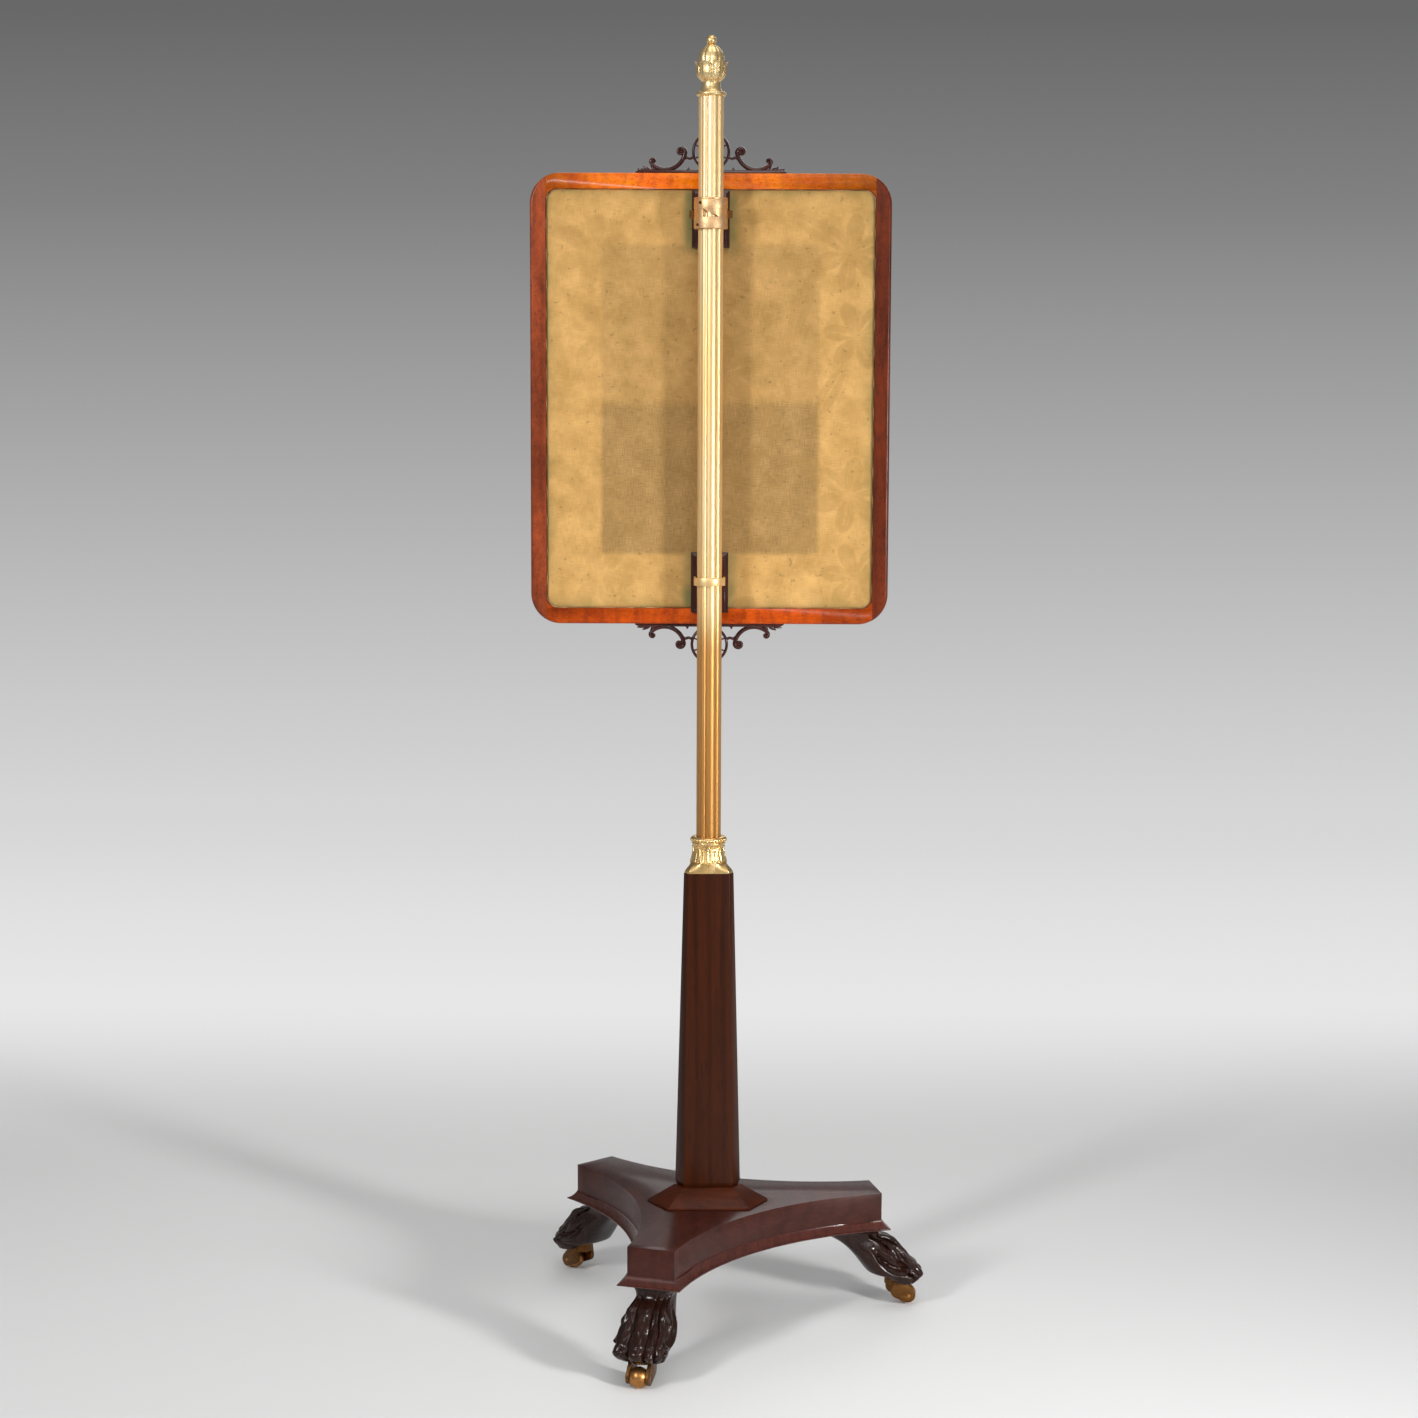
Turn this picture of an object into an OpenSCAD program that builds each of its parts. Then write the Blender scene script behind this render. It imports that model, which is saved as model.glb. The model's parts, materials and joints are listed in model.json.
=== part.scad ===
// Pole fire screen: a rosewood banner that slides on a reeded brass pole, over a three-armed
// plinth on paw feet and castors. The pole's axis is vertical, the banner's back faces -Y.

/* [Place] */
// Pole axis from the middle of the overall width
axis_x = -25.6; // [-60:0.5:60]
// Pole axis from the middle of the overall depth
axis_y = 23.6; // [-60:0.5:60]

/* [Plinth] */
// Thickness of the three-armed plinth, moulding included
plinth_h = 43.5; // [36:0.5:55]
// Distance from the axis to the end of each arm
arm_reach = 201; // [185:1:215]
// Width of an arm's end
arm_end_w = 54; // [46:1:62]
// Distance from the axis to the middle of each concave side
waist = 83; // [72:1:92]
// Direction of the right-hand arm, anticlockwise from +X
arm_turn = 12.4; // [0:0.1:30]
// Height of the moulding round the lower edge
moulding_h = 11.5; // [8:0.5:14]
// How far the moulding stands out
moulding_out = 9; // [5:0.5:11]

/* [Feet] */
// Height of a paw foot from the toes' underside to the plinth
foot_h = 69; // [58:1:80]
// Length of a paw foot from the heel's root to the toes' tips
foot_l = 127; // [115:1:135]
// Width of a paw foot over the toes
foot_w = 62; // [54:1:68]
// Diameter of the dowels that hold a foot
dowel_d = 10; // [6:0.5:12]
// Length of those dowels
dowel_l = 44; // [30:1:50]

/* [Castors] */
// Diameter of the ball roller
roller_d = 23; // [20:0.5:25]
// Width of the ball roller between its flats
roller_w = 17.5; // [14:0.5:18]
// How far a castor's pivot stands beyond the end of its arm
castor_out = 25; // [19:1:31]
// Distance from the pivot to the roller's axle
trail = 13.5; // [12:0.5:15]
// Height of the toes' underside above the floor
toe_clear = 29; // [28:0.5:34]
// Depth of the seat for the castor's plate above the toes' underside
seat_depth = 6.5; // [6:0.5:9]
// Diameter of the castor's plate
plate_d = 27; // [24:0.5:28]
// Thickness of the castor's plate
plate_t = 2.3; // [1.5:0.1:3]
// Diameter of the pivot pin
pivot_d = 6; // [5:0.5:7]
// Diameter of the swivelling horn's disc
horn_d = 25; // [22:0.5:27]
// Thickness of that disc
horn_t = 8; // [6:0.5:9]
// Thickness of each cheek of the horn
cheek_t = 4; // [3:0.5:4.5]
// Diameter of the roller's axle
axle_d = 4; // [3:0.5:5]

/* [Column] */
// Height of the six-sided skirt
skirt_h = 19.3; // [14:0.1:26]
// Height of the skirt's upright edge
skirt_edge = 2.3; // [1.5:0.1:4]
// Wide side of the skirt at the bottom
skirt_wide = 93; // [84:1:100]
// Narrow side of the skirt at the bottom
skirt_narrow = 45; // [36:1:50]
// Height of the tapered column
column_h = 361.2; // [300:1:420]
// Wide side of the column at the bottom
foot_wide = 56.5; // [52:0.5:60]
// Narrow side of the column at the bottom
foot_narrow = 18; // [12:0.5:22]
// Wide side of the column at the top
top_wide = 46.6; // [45:0.1:50]
// Narrow side of the column at the top
top_narrow = 9.9; // [8:0.1:14]
// Height of the eased edge at the column's foot
column_ease = 5; // [2:0.5:8]
// Turn of the column's front face from the banner's plane
column_turn = 2; // [-15:1:15]
// Diameter of the column's tenon
tenon_d = 30; // [22:1:36]
// Length of the tenon below the skirt
tenon_l = 34; // [20:1:36]

/* [Pole] */
// Diameter over the reeds
pole_d = 28; // [27:0.5:28.5]
// Length of the reeded tube
pole_l = 831.2; // [760:1:900]
// Bore of the reeded tube
pole_bore = 22.4; // [18:0.1:22.8]
// Turn of the front reed from the banner's plane
reed_turn = 8; // [0:1:45]
// Height of the leafy brass socket
socket_h = 40.2; // [34:0.5:46]
// Depth of the pole's seat in the socket
socket_cup = 10; // [6:0.5:12]
// Diameter of the spigot in the column
spigot_d = 16; // [12:0.5:18]
// Length of the spigot in the column
spigot_l = 50; // [30:1:80]
// Length of the spigot in the tube
spigot_in = 60; // [30:1:90]
// Length of the wooden plug in the tube's top
plug_l = 36; // [24:1:50]

/* [Finial] */
// Diameter of the collar on the pole's top
collar_d = 33; // [31:0.5:34]
// Thickness of that collar
collar_t = 5.4; // [4:0.1:7]
// Height of the leaf cup with its neck
cup_h = 32.6; // [28:0.5:38]
// Height of the bud above the cup's floor
bud_h = 29; // [25:0.5:33]
// Diameter of the ball
ball_d = 11.3; // [9:0.1:13]
// Diameter of the stem
stem_d = 8; // [6:0.5:9]

/* [Banner] */
// Width of the banner's frame
banner_w = 404; // [360:1:460]
// Height of the banner's frame
banner_h = 503.5; // [440:1:580]
// Height of the banner's lower edge above the floor
banner_z = 800.5; // [780:0.5:860]
// Width of the frame's face
face_w = 17.6; // [14:0.2:22]
// Thickness of the frame
frame_t = 20; // [17:0.5:24]
// Radius of the frame's outer corners
corner_r = 34; // [26:1:42]
// Radius of the frame's rounded outer edges
edge_r = 3.5; // [2:0.5:5]
// Gap between the pole's axis and the frame's back
frame_gap = 30; // [28.5:0.5:36]
// Width of the strainer's upright bars
bar_w = 61.5; // [40:0.5:70]
// Width of the strainer's cross bars
bar_h = 61; // [40:0.5:70]
// Thickness of the strainer
strainer_t = 11; // [8:0.5:13]
// Corner radius of the strainer and its cloth
cloth_r = 13; // [8:0.5:18]
// Thickness of the cloth
cloth_t = 1.2; // [0.8:0.1:1.6]
// Depth of the cloth below the frame's back
cloth_sink = 3; // [2:0.1:4]

/* [Crests] */
// Outer radius of the crest's ring
ring_r = 21.5; // [18:0.5:24]
// Width of the scrolls' band
band_w = 3.4; // [2.6:0.1:4]
// Thickness of the carved crests
crest_t = 7; // [5:0.5:10]
// Length of the crest's base strip
strip_l = 170; // [150:1:190]
// Height of the crest's base strip
strip_h = 3.6; // [3:0.1:5]

/* [Slide] */
// Width of the wooden blocks behind the pole
block_w = 42; // [38:0.5:48]
// Height of the upper block
upper_h = 63; // [50:1:66]
// Height of the lower block
lower_h = 68; // [50:1:76]
// How far the lower block laps over the bottom rail
block_lap = 4; // [1:0.5:8]
// Front of the blocks from the pole's axis
block_front = 17.5; // [17:0.1:18.5]
// Bevel of the blocks' edges
block_bevel = 4; // [2:0.5:6]
// Height of the brass sleeve
sleeve_h = 34; // [28:0.5:40]
// Diameter of the brass sleeve
sleeve_d = 37.6; // [36.4:0.1:40]
// Height of the sleeve's middle above the upper block's foot
sleeve_up = 36; // [30:0.5:44]
// Height of the grip spring
grip_h = 8.7; // [6:0.1:10]
// Thickness of the grip spring
grip_t = 1.2; // [0.8:0.1:1.6]
// Length of the grip spring over its ears
grip_l = 48; // [44:0.5:54]
// Travel of the grip spring
grip_travel = 1.2; // [0.8:0.1:1.5]
// Height of the lower guide band
guide_h = 9; // [7:0.5:12]
// Thickness of the guide band
guide_t = 2.2; // [1.5:0.1:2.6]
// Inner radius of the guide band
guide_r = 15.4; // [14.6:0.1:16]
// Height of the guide band above the lower block's foot
guide_up = 32.5; // [20:0.5:50]

/* [Fits] */
// Thickness of the glue between the plinth and its moulding
glue_gap = 0.05; // [0.02:0.01:0.1]
// Radial clearance of turning parts
turn_gap = 0.05; // [0.02:0.01:0.1]
// Radial clearance of the sleeve on the pole
slide_gap = 0.3; // [0.1:0.05:0.5]
// Clearance between parts that rest near each other
rest_gap = 0.3; // [0.2:0.05:0.5]

/* [Hidden] */
$fn = 96;

// Heights of the stand, from the floor up
seat_z = toe_clear + seat_depth;
plinth_z = toe_clear + foot_h;
plinth_top = plinth_z + plinth_h;
column_z = plinth_top + skirt_h;
socket_z = column_z + column_h;
socket_top = socket_z + socket_h;
pole_z = socket_top - socket_cup + rest_gap;
pole_top = pole_z + pole_l;
cup_z = pole_top + collar_t;
bud_z = cup_z + 0.66 * cup_h;
ball_z = bud_z + bud_h;

// Directions of the arms: front left, back left, right
arms = [arm_turn - 120, arm_turn + 120, arm_turn];

// Outline of the plinth
castor_r = arm_reach + castor_out;
end_along = arm_reach * cos(60) + arm_end_w / 2 * sin(60);
end_across = arm_reach * sin(60) - arm_end_w / 2 * cos(60);
side_sag = end_along - waist;
side_r = (end_across * end_across + side_sag * side_sag) / (2 * side_sag);

// Depths of the banner, from the pole's axis
frame_front = frame_gap + frame_t;
lining_y = frame_gap + cloth_sink;
strainer_y = lining_y + cloth_t + rest_gap;
panel_y = strainer_y + strainer_t + rest_gap;
block_back = lining_y - rest_gap;
crest_y = frame_gap + frame_t / 2 - crest_t / 2;

// The opening of the frame
banner_top = banner_z + banner_h;
open_w = banner_w - 2 * face_w;
open_h = banner_h - 2 * face_w;
open_z = banner_z + face_w;
strainer_w = open_w - 2 * rest_gap;
strainer_h = open_h - 2 * rest_gap;
strainer_z = open_z + rest_gap;

// Places of the fittings on the pole
upper_z = open_z + open_h - 2 - upper_h;
lower_z = open_z - block_lap;
sleeve_z = upper_z + sleeve_up;
guide_z = lower_z + guide_up;
slide_r = pole_d / 2 + slide_gap;
strap_y = pole_d / 2 + turn_gap;

rosewood = "#4a2219";
veneer = "#8a3b1c";
brass = "#c99a45";
bronze = "#6b4a2a";
pine = "#b98d5a";
cloth = "#a08a55";

// Puts a part that is drawn round the pole's axis in its place
module on_axis() {
    translate([axis_x, axis_y, 0]) children();
}

// A closed skin over a stack of rings that have the same number of points
module loft(rings) {
    n = len(rings[0]);
    last = len(rings) - 1;
    polyhedron(
        points = [for (ring = rings) each ring],
        faces = [
            [for (j = [0:n - 1]) j],
            [for (j = [n - 1:-1:0]) last * n + j],
            for (i = [0:last - 1], j = [0:n - 1])
                each let (a = i * n, b = a + n, k = (j + 1) % n)
                    [[a + j, b + j, b + k], [a + j, b + k, a + k]]
        ]
    );
}

// A point at an angle, a radius and a height
function polar(a, r, z) = [r * cos(a), r * sin(a), z];

// Power that keeps the sign, for rounded-square outlines
function signed_pow(v, p) = sign(v) * pow(abs(v), p);

// Corners of a six-sided outline with three wide and three narrow sides
function six_sides(wide, narrow) =
    let (apothem = (wide + 2 * narrow) / (2 * sqrt(3)))
    [for (k = [0:2], s = [-1, 1])
        let (a = 120 * k - 90 + column_turn)
        [apothem * cos(a) - s * wide / 2 * sin(a), apothem * sin(a) + s * wide / 2 * cos(a)]];

module six_plate(wide, narrow, z, h) {
    translate([0, 0, z]) linear_extrude(h) polygon(six_sides(wide, narrow));
}

// Corners of the plinth's arms
function arm_corner(a, side) =
    [arm_reach * cos(a) - side * arm_end_w / 2 * sin(a),
     arm_reach * sin(a) + side * arm_end_w / 2 * cos(a)];

module platform() {
    color(rosewood) on_axis() difference() {
        translate([0, 0, plinth_z]) linear_extrude(plinth_h)
            polygon([for (a = [arms[0], arms[2], arms[1]], s = [-1, 1]) arm_corner(a, s)]);
        for (a = arms) rotate(a + 60)
            translate([waist + side_r, 0, plinth_z - 1]) cylinder(r = side_r, h = plinth_h + 2, $fn = 200);
        translate([0, 0, plinth_top - tenon_l]) cylinder(d = tenon_d + 2 * turn_gap, h = tenon_l + 1);
        foot_dowel_holes();
    }
}

// Section of the moulding: a cove that runs out to a thin lip, cut back below
module moulding_section() {
    lip = 1.2;
    back = 0.35 * moulding_out;
    cove_h = moulding_h * 0.75;
    polygon(concat(
        [[glue_gap, 0], [back, 0], [moulding_out, moulding_h - cove_h - lip], [moulding_out, moulding_h - cove_h]],
        [for (t = [0.15:0.15:0.9]) [moulding_out * (1 - t), moulding_h - cove_h + cove_h * pow(t, 1.7)]],
        [[0.4, moulding_h], [glue_gap, moulding_h]]
    ));
}

// Sector between the mitres at two corners, drawn from an inner point
module mitre_sector(inner, p, p_dir, q, q_dir) {
    far = 3 * moulding_out;
    translate([0, 0, plinth_z - 1]) linear_extrude(moulding_h + 2)
        polygon([inner, p, p + far * p_dir, q + far * q_dir, q]);
}

module platform_moulding() {
    corner = [end_along, end_across];
    to_centre = [waist + side_r, 0] - corner;
    side_normal = to_centre / norm(to_centre);
    end_normal = [cos(60), sin(60)];
    mitre = (side_normal + end_normal) / norm(side_normal + end_normal);
    mirrored = [mitre.x, -mitre.y];
    color(rosewood) on_axis() for (a = arms) {
        rotate(a + 60) intersection() {
            translate([waist + side_r, 0, plinth_z]) rotate_extrude($fn = 200)
                translate([side_r, 0]) mirror([1, 0]) moulding_section();
            mitre_sector([waist - 30, 0], [corner.x, -corner.y], mirrored, corner, mitre);
        }
        rotate(a) intersection() {
            translate([arm_reach, arm_end_w / 2 + 2 * moulding_out, plinth_z]) rotate([90, 0, 0])
                linear_extrude(arm_end_w + 4 * moulding_out) moulding_section();
            translate([0, 0, plinth_z - 1]) linear_extrude(moulding_h + 2) {
                turned = [mitre.x * cos(60) + mitre.y * sin(60), mitre.y * cos(60) - mitre.x * sin(60)];
                reach = 3 * moulding_out;
                polygon([
                    [arm_reach - 10, 0],
                    [arm_reach, -arm_end_w / 2],
                    [arm_reach + reach * turned.x, -arm_end_w / 2 + reach * turned.y],
                    [arm_reach + reach * turned.x, arm_end_w / 2 - reach * turned.y],
                    [arm_reach, arm_end_w / 2]
                ]);
            }
        }
    }
}

module column_skirt() {
    color(rosewood) on_axis() difference() {
        hull() {
            six_plate(skirt_wide, skirt_narrow, plinth_top, skirt_edge);
            six_plate(foot_wide + 1, foot_narrow + 0.6, column_z - 0.1, 0.1);
        }
        translate([0, 0, plinth_top - 1]) cylinder(d = tenon_d + 2 * turn_gap, h = skirt_h + 2);
    }
}

module column() {
    eased = 0.94;
    color(rosewood) on_axis() difference() {
        union() {
            hull() {
                six_plate(foot_wide * eased, foot_narrow * eased, column_z, 0.1);
                six_plate(foot_wide, foot_narrow, column_z + column_ease, 0.1);
                six_plate(top_wide, top_narrow, socket_z - 0.1, 0.1);
            }
            translate([0, 0, column_z - skirt_h - tenon_l + rest_gap])
                cylinder(d = tenon_d, h = skirt_h + tenon_l + 1);
        }
        translate([0, 0, socket_z - spigot_l - 2]) cylinder(d = spigot_d + 2 * turn_gap, h = spigot_l + 3);
        translate([0, 0, socket_z - boss_l - rest_gap]) cylinder(d = boss_d + 2 * turn_gap, h = boss_l + 1);
    }
}

// Boss under the socket that centres it in the column
boss_l = 10;
boss_d = spigot_d + 8;

// The socket: a six-sided leafy skirt, a reeded leaf neck and a gadrooned rim
module pole_socket() {
    base_h = 0.27 * socket_h;
    neck_r = 0.445 * (top_wide - 8);
    profile = [
        [0, 1.06], [0.06, 1.17], [0.12, 1.13], [0.2, 1.09], [0.4, 1.03], [0.55, 0.985],
        [0.62, 1.0], [0.7, 1.08], [0.77, 1.17], [0.86, 1.2], [0.94, 1.18], [1, 1.07]
    ];
    leaf = function(u, a) u < 0.1 ? 0.035 * abs(cos(4 * a))
        : u < 0.66 ? 0.05 * pow(abs(cos(4 * a)), 2) + 0.03 * pow(abs(cos(8 * a)), 4)
        : 0.035 * abs(cos(7 * a));
    body_h = socket_h - base_h;
    n = 84;
    color(brass) on_axis() difference() {
        union() {
            hull() {
                six_plate(top_wide - 1, top_narrow - 0.4, socket_z, 0.8);
                translate([0, 0, socket_z + base_h - 0.5]) cylinder(r = neck_r * 1.06, h = 0.5, $fn = 48);
            }
            loft([for (p = profile)
                [for (j = [0:n - 1]) let (a = 360 * j / n)
                    polar(a, neck_r * (p[1] + leaf(p[0], a)), socket_z + base_h - 0.2 + (body_h + 0.2) * p[0])]]);
            translate([0, 0, socket_z - boss_l]) cylinder(d = boss_d, h = boss_l + 1);
        }
        translate([0, 0, socket_z - boss_l - 1]) cylinder(d = spigot_d + 2 * turn_gap, h = socket_h + boss_l + 2);
        translate([0, 0, socket_top - socket_cup]) cylinder(d = pole_d + 2 * turn_gap, h = socket_cup + 1);
    }
}

// Places of the two dowels of each foot, from the castor's pivot inwards
dowel_places = [-0.44 * foot_l, -0.268 * foot_l];

module foot_dowel_holes() {
    for (a = arms, x = dowel_places) rotate(a)
        translate([castor_r + x, 0, plinth_z - dowel_l / 2 - rest_gap])
            cylinder(d = dowel_d + 2 * turn_gap, h = dowel_l + 2 * rest_gap);
}

module foot_dowels() {
    color(pine) on_axis() for (a = arms, x = dowel_places) rotate(a)
        translate([castor_r + x, 0, plinth_z - dowel_l / 2]) cylinder(d = dowel_d, h = dowel_l);
}

// Heights, backs, fronts and half widths of a paw, as shares of its height, length and width,
// from the toes' underside up: toes, knuckles, brow, neck and the flare under the plinth
paw_levels = [
    [0, -0.02, 0.135, 0.395], [0.015, -0.05, 0.175, 0.44], [0.06, -0.09, 0.22, 0.475],
    [0.1, -0.11, 0.243, 0.495], [0.145, -0.125, 0.252, 0.502], [0.158, -0.2, 0.252, 0.503],
    [0.175, -0.255, 0.251, 0.503], [0.205, -0.287, 0.247, 0.503], [0.275, -0.318, 0.224, 0.494],
    [0.333, -0.342, 0.186, 0.48], [0.391, -0.365, 0.142, 0.464], [0.449, -0.389, 0.107, 0.448],
    [0.536, -0.428, 0.075, 0.424], [0.623, -0.472, 0.04, 0.392], [0.696, -0.514, 0, 0.36],
    [0.754, -0.555, -0.047, 0.336], [0.797, -0.59, -0.11, 0.322], [0.826, -0.614, -0.157, 0.319],
    [0.913, -0.685, -0.177, 0.346], [1, -0.748, -0.181, 0.42]
];

// One slice of a paw: a rounded-square outline with five toes grooved into its front
function paw_slice(level) =
    let (
        z = level[0],
        middle = (level[1] + level[2]) / 2 * foot_l,
        half_l = (level[2] - level[1]) / 2 * foot_l,
        half_w = level[3] * foot_w,
        roundness = 0.88 - 0.4 * z,
        groove = 0.1 * (1 - pow(min(z / 0.85, 1), 3)),
        n = 48
    )
    [for (j = [0:n - 1])
        let (
            a = 360 * j / n,
            front = abs(a > 180 ? a - 360 : a),
            toe = front < 78 ? pow(0.5 - 0.5 * cos(12 * front), 2) : 0,
            k = 1 - groove * toe
        )
        [middle + k * half_l * signed_pow(cos(a), roundness),
         k * half_w * signed_pow(sin(a), roundness),
         toe_clear + z * foot_h]];

module paw_foot(a) {
    color(rosewood) on_axis() difference() {
        rotate(a) translate([castor_r, 0, 0]) loft([for (level = paw_levels) paw_slice(level)]);
        rotate(a) translate([castor_r, 0, toe_clear - 1]) cylinder(d = plate_d + 5, h = seat_depth + 1);
        foot_dowel_holes();
        castor_screw_shapes(turn_gap);
    }
}

module foot_front_left() { paw_foot(arms[0]); }
module foot_back_left() { paw_foot(arms[1]); }
module foot_right() { paw_foot(arms[2]); }

// Three countersunk screws hold each castor's plate
screw_pcd = plate_d - 7;
screw_l = 14;

module castor_screw_shapes(grow) {
    for (a = arms) rotate(a) translate([castor_r, 0, 0]) for (k = [0:2]) rotate(120 * k + 60)
        translate([screw_pcd / 2, 0, seat_z - plate_t + 0.2 - grow]) {
            cylinder(r1 = 2.2 + grow, r2 = 1.2 + grow, h = 1.4 + grow);
            cylinder(r = 1.2 + grow, h = screw_l + 2 * grow);
        }
}

module castor_screws() {
    color(bronze) on_axis() castor_screw_shapes(0);
}

// Plate with its pivot pin and the riveted head that carries the horn
module castor_plate(a) {
    horn_top = seat_z - plate_t - rest_gap;
    head_z = horn_top - horn_t - rest_gap;
    color(bronze) on_axis() difference() {
        rotate(a) translate([castor_r, 0, 0]) {
            translate([0, 0, seat_z - plate_t]) cylinder(d = plate_d, h = plate_t);
            translate([0, 0, head_z - 1.6]) cylinder(d = pivot_d, h = seat_z - head_z + 1.6);
            translate([0, 0, head_z - 1.8]) cylinder(d1 = pivot_d, d2 = pivot_d + 3, h = 1.8);
        }
        castor_screw_shapes(turn_gap);
    }
}

module castor_plate_front_left() { castor_plate(arms[0]); }
module castor_plate_back_left() { castor_plate(arms[1]); }
module castor_plate_right() { castor_plate(arms[2]); }

// The horn: a disc on the pivot and two cheeks that sweep out to the roller's axle
module castor_horn(a) {
    horn_top = seat_z - plate_t - rest_gap;
    cheek_y = roller_w / 2 + rest_gap + cheek_t / 2;
    boss_r = 0.34 * roller_d;
    color(bronze) on_axis() rotate(a) translate([castor_r, 0, 0]) difference() {
        union() {
            translate([0, 0, horn_top - horn_t]) cylinder(d = horn_d, h = horn_t);
            for (s = [-1, 1]) hull() {
                translate([trail, s * cheek_y, roller_d / 2]) rotate([90, 0, 0])
                    cylinder(r = boss_r, h = cheek_t, center = true, $fn = 32);
                translate([0, s * cheek_y, 0.75 * roller_d]) rotate([90, 0, 0])
                    cylinder(r = boss_r, h = cheek_t, center = true, $fn = 32);
                translate([0, s * cheek_y, horn_top - horn_t / 2])
                    cube([0.4 * horn_d, cheek_t, horn_t], center = true);
            }
        }
        translate([0, 0, -1]) cylinder(d = pivot_d + 2 * turn_gap, h = horn_top + 2);
        translate([0, 0, -1]) cylinder(d = pivot_d + 4, h = horn_top - horn_t + 1);
        translate([trail, 0, roller_d / 2]) rotate([90, 0, 0])
            cylinder(d = axle_d + 2 * turn_gap, h = 4 * cheek_y, center = true);
        translate([trail, 0, roller_d / 2]) rotate([90, 0, 0])
            cylinder(r = roller_d / 2 + 1, h = 2 * cheek_y - cheek_t, center = true);
    }
}

module castor_horn_front_left() { castor_horn(arms[0]); }
module castor_horn_back_left() { castor_horn(arms[1]); }
module castor_horn_right() { castor_horn(arms[2]); }

module castor_axle(a) {
    reach = roller_w / 2 + rest_gap + cheek_t;
    color(brass) on_axis() rotate(a) translate([castor_r + trail, 0, roller_d / 2])
        rotate([90, 0, 0]) cylinder(d = axle_d, h = 2 * reach, center = true);
}

module castor_axle_front_left() { castor_axle(arms[0]); }
module castor_axle_back_left() { castor_axle(arms[1]); }
module castor_axle_right() { castor_axle(arms[2]); }

module castor_roller(a) {
    color(brass) on_axis() rotate(a) translate([castor_r + trail, 0, roller_d / 2]) rotate([90, 0, 0])
        rotate_extrude() difference() {
            intersection() {
                circle(d = roller_d);
                translate([0, -roller_w / 2]) square([roller_d, roller_w]);
            }
            translate([0, -roller_w]) square([axle_d / 2 + turn_gap, 2 * roller_w]);
        }
}

module castor_roller_front_left() { castor_roller(arms[0]); }
module castor_roller_back_left() { castor_roller(arms[1]); }
module castor_roller_right() { castor_roller(arms[2]); }

// The pole: a tube with four wide reeds and a narrow bead between each pair
module pole() {
    reed_r = 0.515 * pole_d / 2;
    bead_r = 0.28 * pole_d / 2;
    color(brass) on_axis() translate([0, 0, pole_z]) rotate(reed_turn) linear_extrude(pole_l)
        difference() {
            union() {
                circle(r = 0.88 * pole_d / 2);
                for (k = [0:3]) rotate(90 * k) {
                    translate([pole_d / 2 - reed_r, 0]) circle(r = reed_r);
                    rotate(45) translate([pole_d / 2 - bead_r, 0]) circle(r = bead_r);
                }
            }
            circle(d = pole_bore);
        }
}

module pole_spigot() {
    color(pine) on_axis() {
        translate([0, 0, pole_z]) cylinder(d = pole_bore - 2 * turn_gap, h = spigot_in);
        translate([0, 0, socket_z - spigot_l]) cylinder(d = spigot_d, h = pole_z - socket_z + spigot_l + 1);
    }
}

module finial_plug() {
    color(pine) on_axis() translate([0, 0, pole_top - plug_l]) difference() {
        cylinder(d = pole_bore - 2 * turn_gap, h = plug_l);
        translate([0, 0, 6]) cylinder(d = stem_d + 2 * turn_gap, h = plug_l);
    }
}

module finial_collar() {
    bead = collar_t / 2;
    color(brass) on_axis() translate([0, 0, pole_top]) rotate_extrude() difference() {
        union() {
            square([collar_d / 2 - bead, collar_t]);
            translate([collar_d / 2 - bead, bead]) circle(r = bead, $fn = 48);
        }
        square([stem_d / 2 + turn_gap, collar_t]);
    }
}

// Six leaves round the cup: 1 at a leaf's tip, 0 in the notch between two
function leaf_share(a) = abs(cos(3 * a));

// The cup's skin, up its outside, over the leaf tips and down its inside
module finial_cup() {
    outside = [
        [0, 12.4], [0.07, 11.2], [0.17, 10.3], [0.3, 10], [0.35, 10.7], [0.4, 12.8],
        [0.49, 15.3], [0.6, 16.5], [0.72, 16.7], [0.84, 16.5]
    ];
    n = 60;
    edge = function(a) cup_h * (0.84 + 0.16 * pow(leaf_share(a), 0.6));
    notch = function(a, u) u > 0.38 ? 0.9 * (1 - pow(leaf_share(a), 0.4)) : 0;
    ring = function(u, r) [for (j = [0:n - 1]) let (a = 360 * j / n)
        polar(a, r - notch(a, u), cup_z + u * cup_h)];
    lip = function(r, dz) [for (j = [0:n - 1]) let (a = 360 * j / n)
        polar(a, r + 1.5 * leaf_share(a), cup_z + edge(a) + dz)];
    color(brass) on_axis() difference() {
        loft(concat(
            [for (p = outside) ring(p[0], p[1])],
            [lip(16.4, 0), lip(15.4, -0.6)],
            [[for (j = [0:n - 1]) polar(360 * j / n, 14.9, cup_z + 0.8 * cup_h)],
             [for (j = [0:n - 1]) polar(360 * j / n, 13.6, cup_z + 0.66 * cup_h)]]
        ));
        translate([0, 0, cup_z - 1]) cylinder(d = stem_d + 2 * turn_gap, h = cup_h);
    }
}

// The fluted bud with its ball, on the stem that goes down into the pole
module finial_bud() {
    outside = [
        [0, 12.6], [0.2, 13.8], [0.4, 14.4], [0.55, 14.4], [0.7, 13.2], [0.82, 11.2],
        [0.91, 8.8], [0.97, 6.6], [1, 5]
    ];
    n = 60;
    flute = function(a, u) 0.75 * (1 - abs(cos(5 * a))) * (1 - 0.5 * u);
    color(brass) on_axis() {
        loft([for (p = outside)
            [for (j = [0:n - 1]) let (a = 360 * j / n)
                polar(a, p[1] - flute(a, p[0]), bud_z + bud_h * p[0])]]);
        translate([0, 0, ball_z + 0.43 * ball_d]) sphere(d = ball_d);
        translate([0, 0, pole_top - plug_l + 8]) cylinder(d = stem_d, h = bud_z - pole_top + plug_l - 6);
    }
}

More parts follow.
